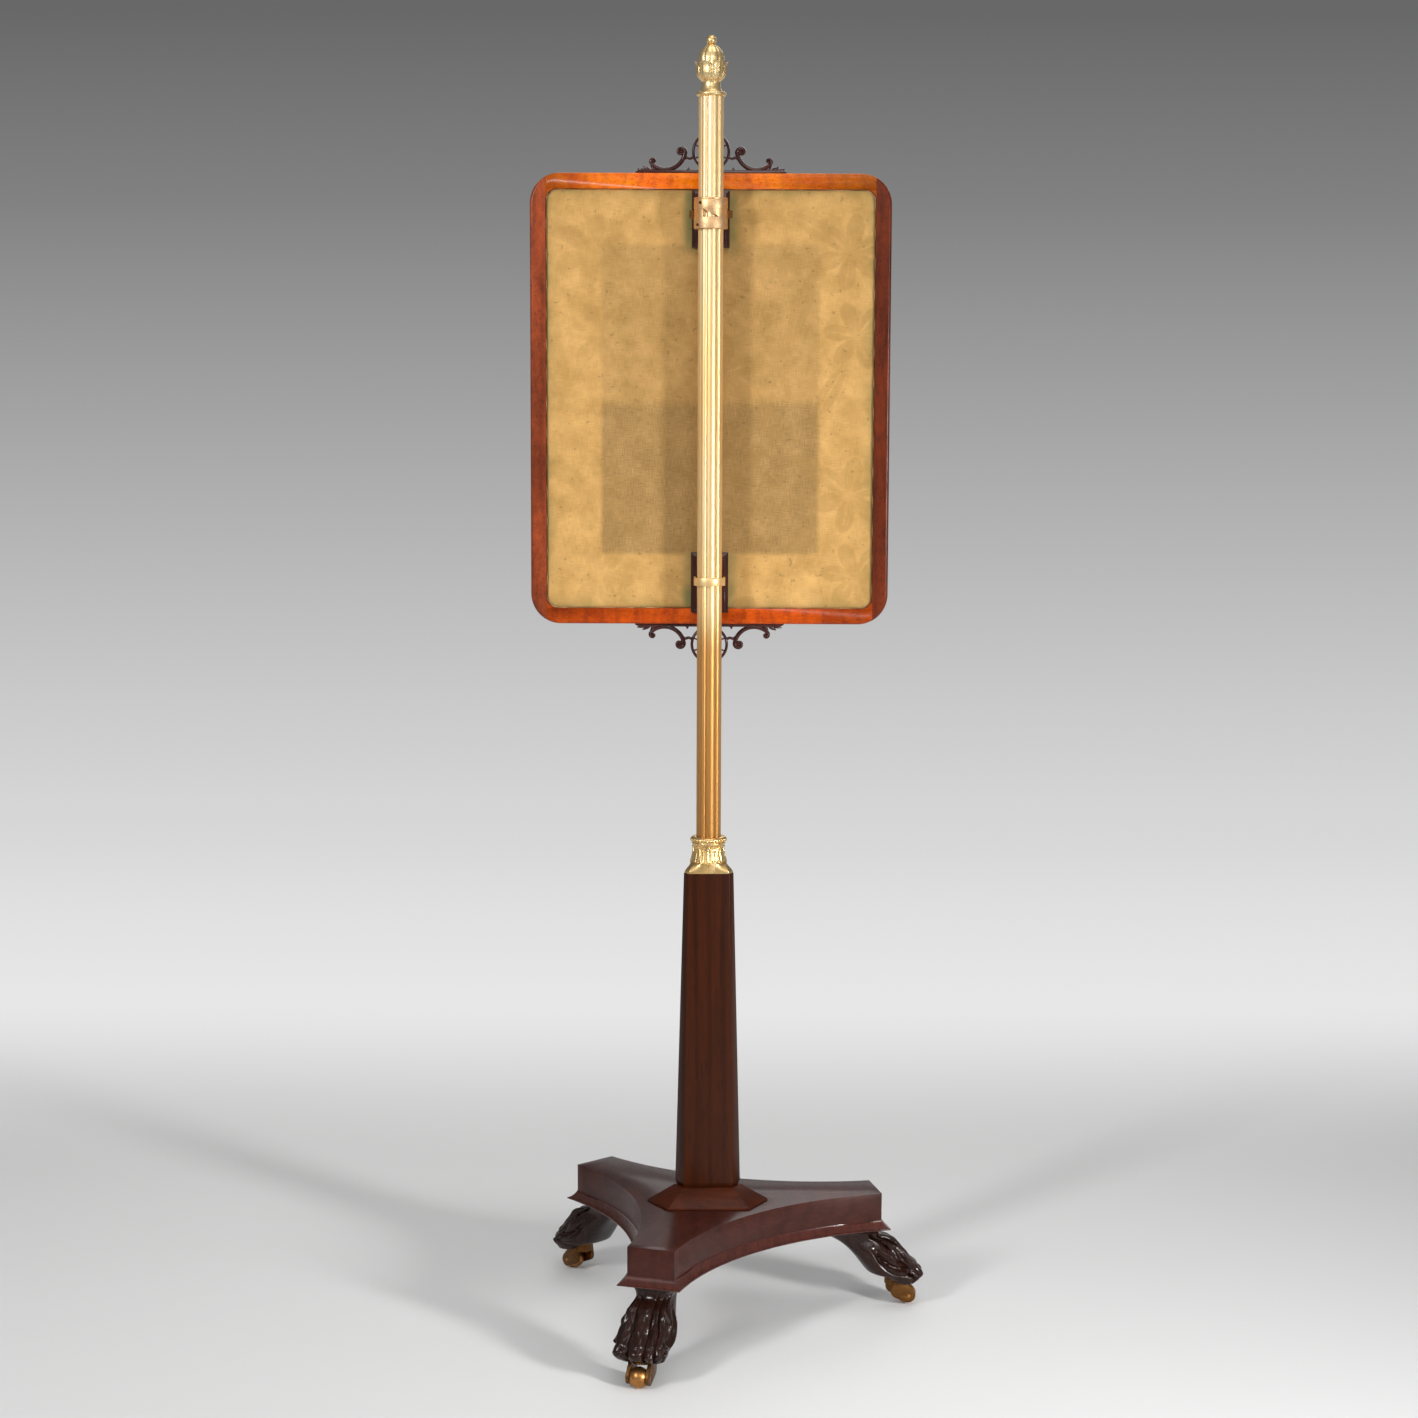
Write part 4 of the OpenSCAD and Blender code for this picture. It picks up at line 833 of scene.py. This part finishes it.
left_veneer = banded("left_stile_veneer", 2, (0.8, 1.31),
                     [(0.8, 0.7), (0.9, 1.0), (0.955, 0.72), (1.06, 0.8), (1.17, 0.98), (1.25, 1.1)],
                     (34.0, 40.0, 20.0), veins=0.22, gloss=0.32,
                     tones=((166, 78, 42), (112, 50, 28), (44, 21, 15)))
right_veneer = banded("right_stile_veneer", 2, (0.8, 1.31),
                      [(0.8, 0.8), (0.93, 0.62), (1.05, 0.7), (1.2, 0.6), (1.28, 0.8)],
                      (34.0, 40.0, 20.0), veins=0.22, gloss=0.32,
                      tones=((140, 60, 28), (92, 38, 20), (38, 18, 13)))
corner_fillet = 0.0125
fillet_root, fillet_shy = 0.001, 0.0006


def railed(node, veneer, meets):
    """A rail with its two inner corners filled round; meets is the height of the rail's inner edge."""
    low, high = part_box(node)
    inner = (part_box("left_stile")[1].x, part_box("right_stile")[0].x)
    up = 1.0 if meets < (low.z + high.z) / 2 else -1.0
    meshes = [settled(merged(node), node + "_merged")]
    for x, side in ((inner[0], 1.0), (inner[1], -1.0)):
        cx, cz = x + side * corner_fillet, meets - up * corner_fillet
        arc = [(cx - side * corner_fillet * cos(radians(t)), cz + up * corner_fillet * sin(radians(t)))
               for t in range(0, 91, 6)]
        behind, past = x - side * fillet_root, meets + up * fillet_root
        outline = [(behind, cz), *arc, (cx, past), (behind, past)]
        n = len(outline)
        points = [(u, y, w) for y in (low.y + fillet_shy, high.y - fillet_shy) for u, w in outline]
        faces = [tuple(range(n)), tuple(range(2 * n - 1, n - 1, -1))]
        faces += [(i, (i + 1) % n, n + (i + 1) % n, n + i) for i in range(n)]
        block = bpy.data.meshes.new(node + "_fillet")
        block.from_pydata(points, [], faces)
        meshes.append(block)
    dress(gathered(node + "_veneered", meshes), veneer, "banner", [node])


railed("top_rail", top_veneer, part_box("top_rail")[0].z)
railed("bottom_rail", foot_veneer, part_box("bottom_rail")[1].z)
dress(nodes["left_stile"], left_veneer)
dress(nodes["right_stile"], right_veneer)


# The strainer: four deal bars, nailed into the frame, that both cloths are stretched over.
deal = wood("deal", (60.0, 60.0, 10.0), veins=0.3, gloss=0.6, coat=0.0,
            tones=((222, 186, 136), (196, 154, 104), (150, 108, 66)))
for name in ("strainer_top", "strainer_bottom", "strainer_left", "strainer_right"):
    dress(nodes[name], deal)
steel, tree, shader = fresh_material("pin_steel")
mottle = noise(tree, add(tree, "TexCoord").outputs["Object"], 300.0)
greyed = ramp(tree, mottle, [(0.35, srgb(104, 98, 92)), (0.65, srgb(160, 156, 150))])
tree.links.new(greyed, shader.inputs["Base Color"])
shader.inputs["Metallic"].default_value = 1.0
shader.inputs["Roughness"].default_value = 0.42
dress(nodes["panel_pins"], steel)
dress(nodes["block_screws"], steel)


# The cloths: a linen damask woven tone on tone with lilies lines the back, stretched over the
# strainer, whose opening shows through as a darker rectangle; a plain silk covers the front.
cloth_step = 0.0015
cloth_corner = 0.013
cloth_fold = 0.006
opening_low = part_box("strainer_left")[1].x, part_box("strainer_bottom")[1].z
opening_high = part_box("strainer_right")[0].x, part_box("strainer_top")[0].z


def lily(x, z, cx, cz, size, turn):
    """One woven lily: six pointed petals with a rib each, and long stamens. 1 on the petals."""
    r = np.hypot(x - cx, z - cz)
    a = np.arctan2(z - cz, x - cx) - radians(turn)
    petal = np.abs(np.cos(3.0 * a))
    edge = size * (0.34 + 0.66 * petal ** 0.9)
    body = smooth(edge - r, 0.0, 0.0022)
    rib = (bump(r * np.sin(3.0 * a) / 3.0, 0.0011) * (np.cos(3.0 * a) > 0) * smooth(r, 0.1 * size, 0.3 * size))
    lines = bump(r * np.sin(7.0 * a) / 7.0, 0.0009) * smooth(0.55 * size - r, 0.0, 0.002)
    return np.maximum(body - 0.85 * rib * smooth(0.85 * size - r, 0.0, 0.003), 0.0) - 0.5 * lines * body


def blade(x, z, cx, cz, length, wide, turn):
    """One woven leaf with a midrib and slanting veins."""
    c, s = cos(radians(turn)), sin(radians(turn))
    u, v = ((x - cx) * c + (z - cz) * s) / length, (-(x - cx) * s + (z - cz) * c) / wide
    edge = np.sqrt(np.maximum(0.0, 1.0 - u * u)) * (1.0 - 0.45 * u)
    body = smooth(edge - np.abs(v), 0.0, 0.12) * (np.abs(u) < 1.0)
    veins = 0.5 + 0.5 * np.sin(76.0 * u + 8.0 * np.abs(v))
    return body * (0.55 + 0.45 * veins) * (1.0 - np.exp(-((v / 0.1) ** 2)))


def damask(x, z):
    """The weave's figure over the cloth: sprays of two lilies with leaves, in half-drop repeat."""
    spray_wide, spray_high = 0.289, 0.27
    out = np.zeros_like(x)
    for column in (-2, -1, 0, 1, 2):
        for row in (-3, -2, -1, 0, 1, 2):
            ox = mid_x + 0.157 + column * spray_wide / 2
            oz = 1.217 + row * spray_high + (column % 2) * spray_high / 2
            for part in (lily(x, z, ox, oz, 0.044, 20.0), lily(x, z, ox + 0.008, oz - 0.092, 0.040, 52.0),
                         blade(x, z, ox - 0.052, oz - 0.05, 0.036, 0.011, 70.0),
                         blade(x, z, ox + 0.05, oz - 0.045, 0.03, 0.010, 115.0),
                         blade(x, z, ox - 0.045, oz + 0.03, 0.032, 0.010, 150.0),
                         blade(x, z, ox - 0.02, oz - 0.15, 0.034, 0.010, 60.0)):
                out = np.maximum(out, part)
    return out


def stretched_cloth(name, node, outwards, figure):
    """A cloth pulled over the strainer and folded round its edges; outwards is -1 at the back, 1 in front."""
    low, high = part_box(node)
    near = low.y if outwards < 0 else high.y
    half = Vector(((high.x - low.x) / 2, 0, (high.z - low.z) / 2))
    mid = (low + high) / 2
    nx = int((2 * half.x + 2 * cloth_fold) / cloth_step) + 1
    nz = int((2 * half.z + 2 * cloth_fold) / cloth_step) + 1
    gx, gz = np.meshgrid(np.linspace(-half.x - cloth_fold, half.x + cloth_fold, nx),
                         np.linspace(-half.z - cloth_fold, half.z + cloth_fold, nz))
    qx, qz = np.abs(gx) - (half.x - cloth_corner), np.abs(gz) - (half.z - cloth_corner)
    over = np.hypot(np.maximum(qx, 0.0), np.maximum(qz, 0.0))
    past = over + np.minimum(np.maximum(qx, qz), 0.0) - cloth_corner
    pull = np.where(over > 1e-9, np.maximum(past, 0.0) / np.maximum(over, 1e-9), 0.0)
    x = gx - np.sign(gx) * np.maximum(qx, 0.0) * pull + mid.x
    z = gz - np.sign(gz) * np.maximum(qz, 0.0) * pull + mid.z
    inward = np.clip(-past, 0.0, None)
    inside = 1.0
    for place, lower, upper in ((x, opening_low[0], opening_high[0]), (z, opening_low[1], opening_high[1])):
        inside = inside * smooth(place, lower - 0.003, lower + 0.004) * smooth(place, upper + 0.003, upper - 0.004)
    slack = (0.00022 * np.sin(x * 61.0 + 3.0 * np.sin(z * 17.0))
             + 0.00018 * np.sin(z * 83.0 - 4.0 * np.sin(x * 23.0 + 1.0))) * smooth(inward, 0.0, 0.02)
    pucker = 0.00035 * np.sin((gx + gz) * 190.0 + 2.0 * np.sin(gx * 70.0)) * np.exp(-inward / 0.012) * (past < 0)
    woven = figure * 0.00012 * damask(x, z)
    back = (np.maximum(past, 0.0) + 0.0011 * np.exp(-inward / 0.0016) + 0.0004 * inside + slack
            + pucker + 0.0003 - woven)
    y = near - outwards * np.maximum(back, 0.0)
    points = np.stack([x, y, z], 2).reshape(-1, 3)
    keep = past < cloth_fold + 0.001
    faces = []
    for i in range(nz - 1):
        for j in range(nx - 1):
            if keep[i, j] and keep[i + 1, j] and keep[i, j + 1] and keep[i + 1, j + 1]:
                quad = (i * nx + j, i * nx + j + 1, (i + 1) * nx + j + 1, (i + 1) * nx + j)
                faces.append(quad if outwards < 0 else quad[::-1])
    piece = mesh_piece(name, points, faces)
    # The edge band marks the last few millimetres of cloth, where its green edge and the painted shade of the gap
    # are laid on
    for attribute, values in (("figure", damask(x, z)), ("opening", inside), ("edge_band_shade_and_stain", np.exp(-inward / 0.006))):
        layer = piece.data.attributes.new(attribute, "FLOAT", "POINT")
        layer.data.foreach_set("value", values.reshape(-1).astype(np.float32))
    work = bmesh.new()
    work.from_mesh(piece.data)
    bmesh.ops.delete(work, geom=[v for v in work.verts if not v.link_faces], context="VERTS")
    work.to_mesh(piece.data)
    work.free()
    return piece, (2 * (half.x + cloth_fold), 2 * (half.z + cloth_fold))


# Plain weave: the crossing threads and their slubs, as a mask and a height
weave, given, put = group("plain_weave", [("Vector", "Vector", None), ("Slub", "Float", 0.5)],
                          [("Mask", "Float"), ("Height", "Float")])
weft, warp = (noise(weave, add(weave, "Mapping", {"Vector": given["Vector"], "Scale": scale}).outputs[0], 1.0)
              for scale in ((90.0, 1.0, 1500.0), (1500.0, 1.0, 90.0)))
cloud = noise(weave, given["Vector"], 45.0, 4.0)
threads = weighed(weave, weft, 0.5, warp, 0.5)
weave.links.new(threads, put["Height"])
weave.links.new(maths(weave, "ADD", maths(weave, "MULTIPLY", threads, given["Slub"]),
                      maths(weave, "MULTIPLY", cloud, maths(weave, "SUBTRACT", 1.0, given["Slub"]))), put["Mask"])


def cloth_look(name, pale, deep, stain, ghost, figure, edge_stain_and_shade):
    """A woven cloth: pale and deep are its threads' tones, stain its dust, ghost what shows of the opening."""
    made, tree, shader = fresh_material(name)
    place = add(tree, "TexCoord").outputs["Object"]
    knit = add(tree, "Group", node_tree=weave)
    tree.links.new(place, knit.inputs["Vector"])
    mask = spread(tree, knit.outputs["Mask"], 0.36, 0.64)
    colour = mixed(tree, mask, pale, deep)
    axis = add(tree, "SeparateXYZ", {0: place}).outputs
    lower = spread(tree, axis[2], 1.056, 1.042, soft=True, to=(0.45, 1.0))
    opening = add(tree, "Attribute", attribute_name="opening").outputs["Fac"]
    grain = spread(tree, knit.outputs["Height"], 0.35, 0.62, to=(0.55, 1.0))
    shade = maths(tree, "MULTIPLY", maths(tree, "MULTIPLY", opening, lower), maths(tree, "MULTIPLY", grain, ghost))
    colour = mixed(tree, shade, colour, stain)
    side = spread(tree, axis[0], mid_x - 0.18, mid_x + 0.18, to=(0.45, 1.0))
    woven = add(tree, "Attribute", attribute_name="figure").outputs["Fac"]
    colour = mixed(tree, maths(tree, "MULTIPLY", maths(tree, "MULTIPLY", woven, side), figure), colour,
                   tuple(v * 0.82 for v in deep[:3]) + (1.0,))
    edge_band_shade_and_stain = add(tree, "Attribute", attribute_name="edge_band_shade_and_stain").outputs["Fac"]
    cloud = noise(tree, place, 30.0, 5.0)
    patchy = spread(tree, cloud, 0.4, 0.6)
    from_middle = maths(tree, "ABSOLUTE", maths(tree, "SUBTRACT", axis[0], mid_x))
    beside = spread(tree, from_middle, 0.036, 0.024, soft=True)
    high = spread(tree, axis[2], 1.205, 1.225, soft=True)
    deep_down = spread(tree, axis[2], 0.885, 0.875, soft=True)
    rubbed = maths(tree, "MULTIPLY", beside, maths(tree, "MAXIMUM", high, deep_down))
    # Painted shade and stain: the greenish band along the cloth's edges is partly the green edge of the fabric and
    # partly painted shade from the gap where it meets the frame; beside the blocks it is a stain
    green = maths(tree, "MULTIPLY", maths(tree, "MAXIMUM", maths(tree, "MULTIPLY", edge_band_shade_and_stain, 0.8), rubbed),
                  maths(tree, "ADD", 0.35, maths(tree, "MULTIPLY", patchy, 0.5)), clamp=True)
    colour = mixed(tree, green, colour, edge_stain_and_shade)
    fleck = noise(tree, place, 170.0, 1.0)
    spots = spread(tree, fleck, 0.7, 0.76)
    colour = mixed(tree, maths(tree, "MULTIPLY", spots, 0.4), colour, stain)
    tree.links.new(colour, shader.inputs["Base Color"])
    shader.inputs["Roughness"].default_value = 0.82
    shader.inputs["Specular IOR Level"].default_value = 0.25
    shader.inputs["Sheen Weight"].default_value = 0.15
    relief = add(tree, "Bump", {"Height": knit.outputs["Height"], "Strength": 0.35, "Distance": 0.0004})
    tree.links.new(relief.outputs[0], shader.inputs["Normal"])
    return made


lining_look = cloth_look("lining_damask", srgb(214, 168, 102), srgb(174, 134, 72), srgb(108, 86, 54), 0.62, 0.4,
                         srgb(112, 112, 66))
silk_look = cloth_look("front_silk", srgb(196, 178, 140), srgb(172, 154, 116), srgb(140, 122, 88), 0.1, 0.3,
                       srgb(150, 132, 96))
for node, outwards, look, slot, figure in (("back_lining", -1, lining_look, "linen", 1.0),
                                           ("front_panel", 1, silk_look, "textile", 0.4)):
    cloth, flat = stretched_cloth("stretched_" + node, node, outwards, figure)
    dress(cloth, look, "banner", [node])


# The crests: fretted from rosewood plate and carved, a ring with a rosette between two scrolls
# that end in volutes, on a strip with a leaf at each end; pegged to the frame's top and foot.
crest_wood = wood("crest_rosewood", (80.0, 60.0, 60.0), veins=0.3, gloss=0.26, coat=0.5,
                  tones=((80, 38, 32), (50, 24, 21), (26, 13, 12)))
ring_reach, band_wide, crest_deep = 21.5, 3.4, 7.0
strip_long, strip_high = 170.0, 3.6
band_sides = 14
crest_low, crest_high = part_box("crest_top")
crest_y = (crest_low.y + crest_high.y) / 2


def carved_band(path, wide, deep):
    """A rounded band swept along points in the crest's plane, with its half widths along the way."""
    rings = []
    for i, (x, z) in enumerate(path):
        bx, bz = path[max(i - 1, 0)]
        fx, fz = path[min(i + 1, len(path) - 1)]
        long = max(hypot(fx - bx, fz - bz), 1e-9)
        nx, nz = -(fz - bz) / long, (fx - bx) / long
        ring = []
        for k in range(band_sides):
            a = 2 * pi * k / band_sides
            c, s = cos(a), sin(a)
            c, s = (abs(c) ** 0.8) * (1 if c >= 0 else -1), (abs(s) ** 0.8) * (1 if s >= 0 else -1)
            ring.append(((x + wide[i] * c * nx) / 1000, deep[i] * s / 1000, (z + wide[i] * c * nz) / 1000))
        rings.append(ring)
    return taken(ring_loft("band", rings))


def arc_points(cx, cz, r0, r1, a0, a1, steps):
    """Points on an arc or a spiral from radius r0 at a0 degrees to r1 at a1."""
    reach = [r0 + (r1 - r0) * k / steps for k in range(steps + 1)]
    turn = [radians(a0 + (a1 - a0) * k / steps) for k in range(steps + 1)]
    return [(cx + r * cos(a), cz + r * sin(a)) for r, a in zip(reach, turn)]


def carved_plate(outline, deep, bevel):
    """A flat leaf or strip cut to an outline in the crest's plane, with its edges rounded."""
    points = [(x / 1000, y / 1000, z / 1000) for y in (-deep / 2, deep / 2) for x, z in outline]
    n = len(outline)
    faces = [tuple(range(n - 1, -1, -1)), tuple(range(n, 2 * n))]
    faces += [(j, (j + 1) % n, n + (j + 1) % n, n + j) for j in range(n)]
    piece = mesh_piece("plate", points, faces)
    rounding = piece.modifiers.new("edges", "BEVEL")
    rounding.width = bevel / 1000
    rounding.segments = 3
    rounding.limit_method = "ANGLE"
    return taken(piece, finished(piece))


def carved_crest():
    """The crest's parts about the middle of the frame's edge, pointing up."""
    ring_z = strip_high - 1 + ring_reach
    inner, outer, stem = ((ring_reach * x, ring_reach * z)
                          for x, z in ((1.558, 1.093), (2.977, 0.619), (2.358, 1.209)))
    stem_reach, inner_reach, outer_reach = 1.023 * ring_reach, 0.214 * ring_reach, 0.167 * ring_reach
    hoop = arc_points(0, ring_z, ring_reach - band_wide / 2, ring_reach - band_wide / 2, -90, 270, 72)
    rounds = []
    for x, z in hoop[:-1]:
        nx, nz = x / hypot(x, z - ring_z), (z - ring_z) / hypot(x, z - ring_z)
        turns = [2 * pi * j / band_sides for j in range(band_sides)]
        section = [(band_wide / 2 * cos(a), crest_deep / 2 * sin(a)) for a in turns]
        rounds.append([((x + out * nx) / 1000, y / 1000, (z + out * nz) / 1000) for out, y in section])
    parts = [taken(ring_loft("hoop", rounds, loop=True))]
    face_up = (Matrix.Translation((0, 0, ring_z / 1000)) @ Matrix.Rotation(radians(90), 4, "X")
               @ Matrix.Rotation(radians(22.5), 4, "Z"))
    for name, count, reach, size in (("petals", 8, 0.0100, (0.0052, 0.0034, 0.0030)),
                                     ("petal_links", 8, 0.0160, (0.0040, 0.0010, 0.0018)),
                                     ("rosette_seeds", 6, 0.0028, (0.0022, 0.0019, 0.0036)),
                                     ("rosette_eye", 3, 0.0006, (0.0046, 0.0046, 0.0031))):
        parts.append(beads_round(name, count, reach, size, crest_wood, face_up))
    for side in (-1, 1):
        path = arc_points(*inner, 1.1, inner_reach, -250, 180, 60)[:-1]
        path += arc_points(*stem, stem_reach, stem_reach, 187, 317, 60)
        path += arc_points(*outer, outer_reach, 0.9, -36, 300, 50)[1:]
        share = [k / (len(path) - 1) for k in range(len(path))]
        wide = [0.95 + 1.6 * sin(pi * min(max((s - 0.06) / 0.8, 0), 1)) ** 0.7 + 0.25 * (s < 0.06) for s in share]
        deep = [2.7 + 0.8 * sin(pi * s) for s in share]
        turned = [(side * x, z) for x, z in path]
        parts.append(carved_band(turned, wide, deep))
        for (ex, ez), size in ((inner, 2.0), (outer, 1.6)):
            work = bmesh.new()
            place = Matrix.Translation((side * ex / 1000, 0, ez / 1000)) @ Matrix.Diagonal((1, 1.7, 1, 1))
            bmesh.ops.create_uvsphere(work, u_segments=16, v_segments=12, radius=size / 1000, matrix=place)
            parts.append(settled(work, "eye"))
        link = [(side * x, ring_z - 7.3 + 0.6 * sin(x))
                for x in np.linspace(ring_reach - 3, stem[0] - stem_reach + 1, 8)]
        parts.append(carved_band(link, [1.7] * 8, [2.8] * 8))
        steps = np.linspace(0, 1, 12)
        swell = [sin(pi * min(0.25 + 0.75 * t, 0.97)) for t in steps]
        for x0, lean, long in ((outer[0] - 2, 62, 11), (outer[0] + 3, 42, 12), (outer[0] + 7, 22, 12)):
            across, up = long * cos(radians(lean)), long * sin(radians(lean))
            spine = [(side * (x0 + t * across), 1.4 + t * up * (1 - 0.25 * t)) for t in steps]
            parts.append(carved_band(spine, [0.4 + 2.0 * w for w in swell], [1.2 + 1.8 * w for w in swell]))
        foot = ((-15, 0), (15, 0), (9, 4.6), (0, 6.2), (-9, 4.2))
        parts.append(carved_plate([(side * (stem[0] + x), z) for x, z in foot], crest_deep - 1.5, 1.0))
        spur = ((-0.5, 0.4), (7.5, 0.4), (3.5, 7.0))
        parts.append(carved_plate([(side * (ring_reach + x), z) for x, z in spur], crest_deep - 2, 0.9))
    half = strip_long / 2
    strip = [(-half, 0.1), (half, 0.1), (half - 1, 1.8), (half - 5, strip_high), (5 - half, strip_high),
             (1 - half, 1.8)]
    parts.append(carved_plate(strip, crest_deep, 0.6))
    return parts


for name, edge, flip in (("crest_top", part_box("top_rail")[1].z, 1),
                         ("crest_bottom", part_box("bottom_rail")[0].z, -1)):
    crest = gathered("carved_" + name, carved_crest())
    crest.data.transform(Matrix.Translation((mid_x, crest_y, edge)) @ Matrix.Diagonal((1, 1, flip, 1)))
    if flip < 0:
        crest.data.flip_normals()
    dress(crest, crest_wood, "banner", [name])
dress(nodes["crest_dowels"], beech)


# The blocks: two bevelled rosewood blocks screwed to the strainer through the lining; the upper
# one is hollowed for the sleeve and the lower one takes the guide band's legs.
block_wood = wood("block_rosewood", (60.0, 60.0, 12.0), veins=0.5, gloss=0.28, coat=0.4,
                  tones=((72, 32, 24), (50, 22, 17), (28, 12, 10)))
block_arris = 0.0006
for block in ("upper_block", "lower_block"):
    dress(eased(block, block_arris), block_wood, "banner", [block])


# The slide: a brass sleeve with a struck window, a springy strip behind the pole with an ear to
# pinch on each side, two rivets, and a plain guide band below.
slide_brass = brass("slide_brass", bright=srgb(250, 220, 172), warm=srgb(234, 188, 134), brown=srgb(136, 84, 58),
                    film=0.75, polish=0.42, bump=0.06)
sleeve_arris, band_arris = 0.00035, 0.0003
dress(eased("slide_sleeve", sleeve_arris), slide_brass, "banner", ["slide_sleeve"])
dress(eased("guide_band", band_arris), pole_brass, "banner", ["guide_band"])
# The spring wears the darker horn brass as painted shade, for the shade it lies in behind the pole
dress(nodes["grip_spring"], horn_brass)
dress(nodes["sleeve_rivets"], horn_brass)
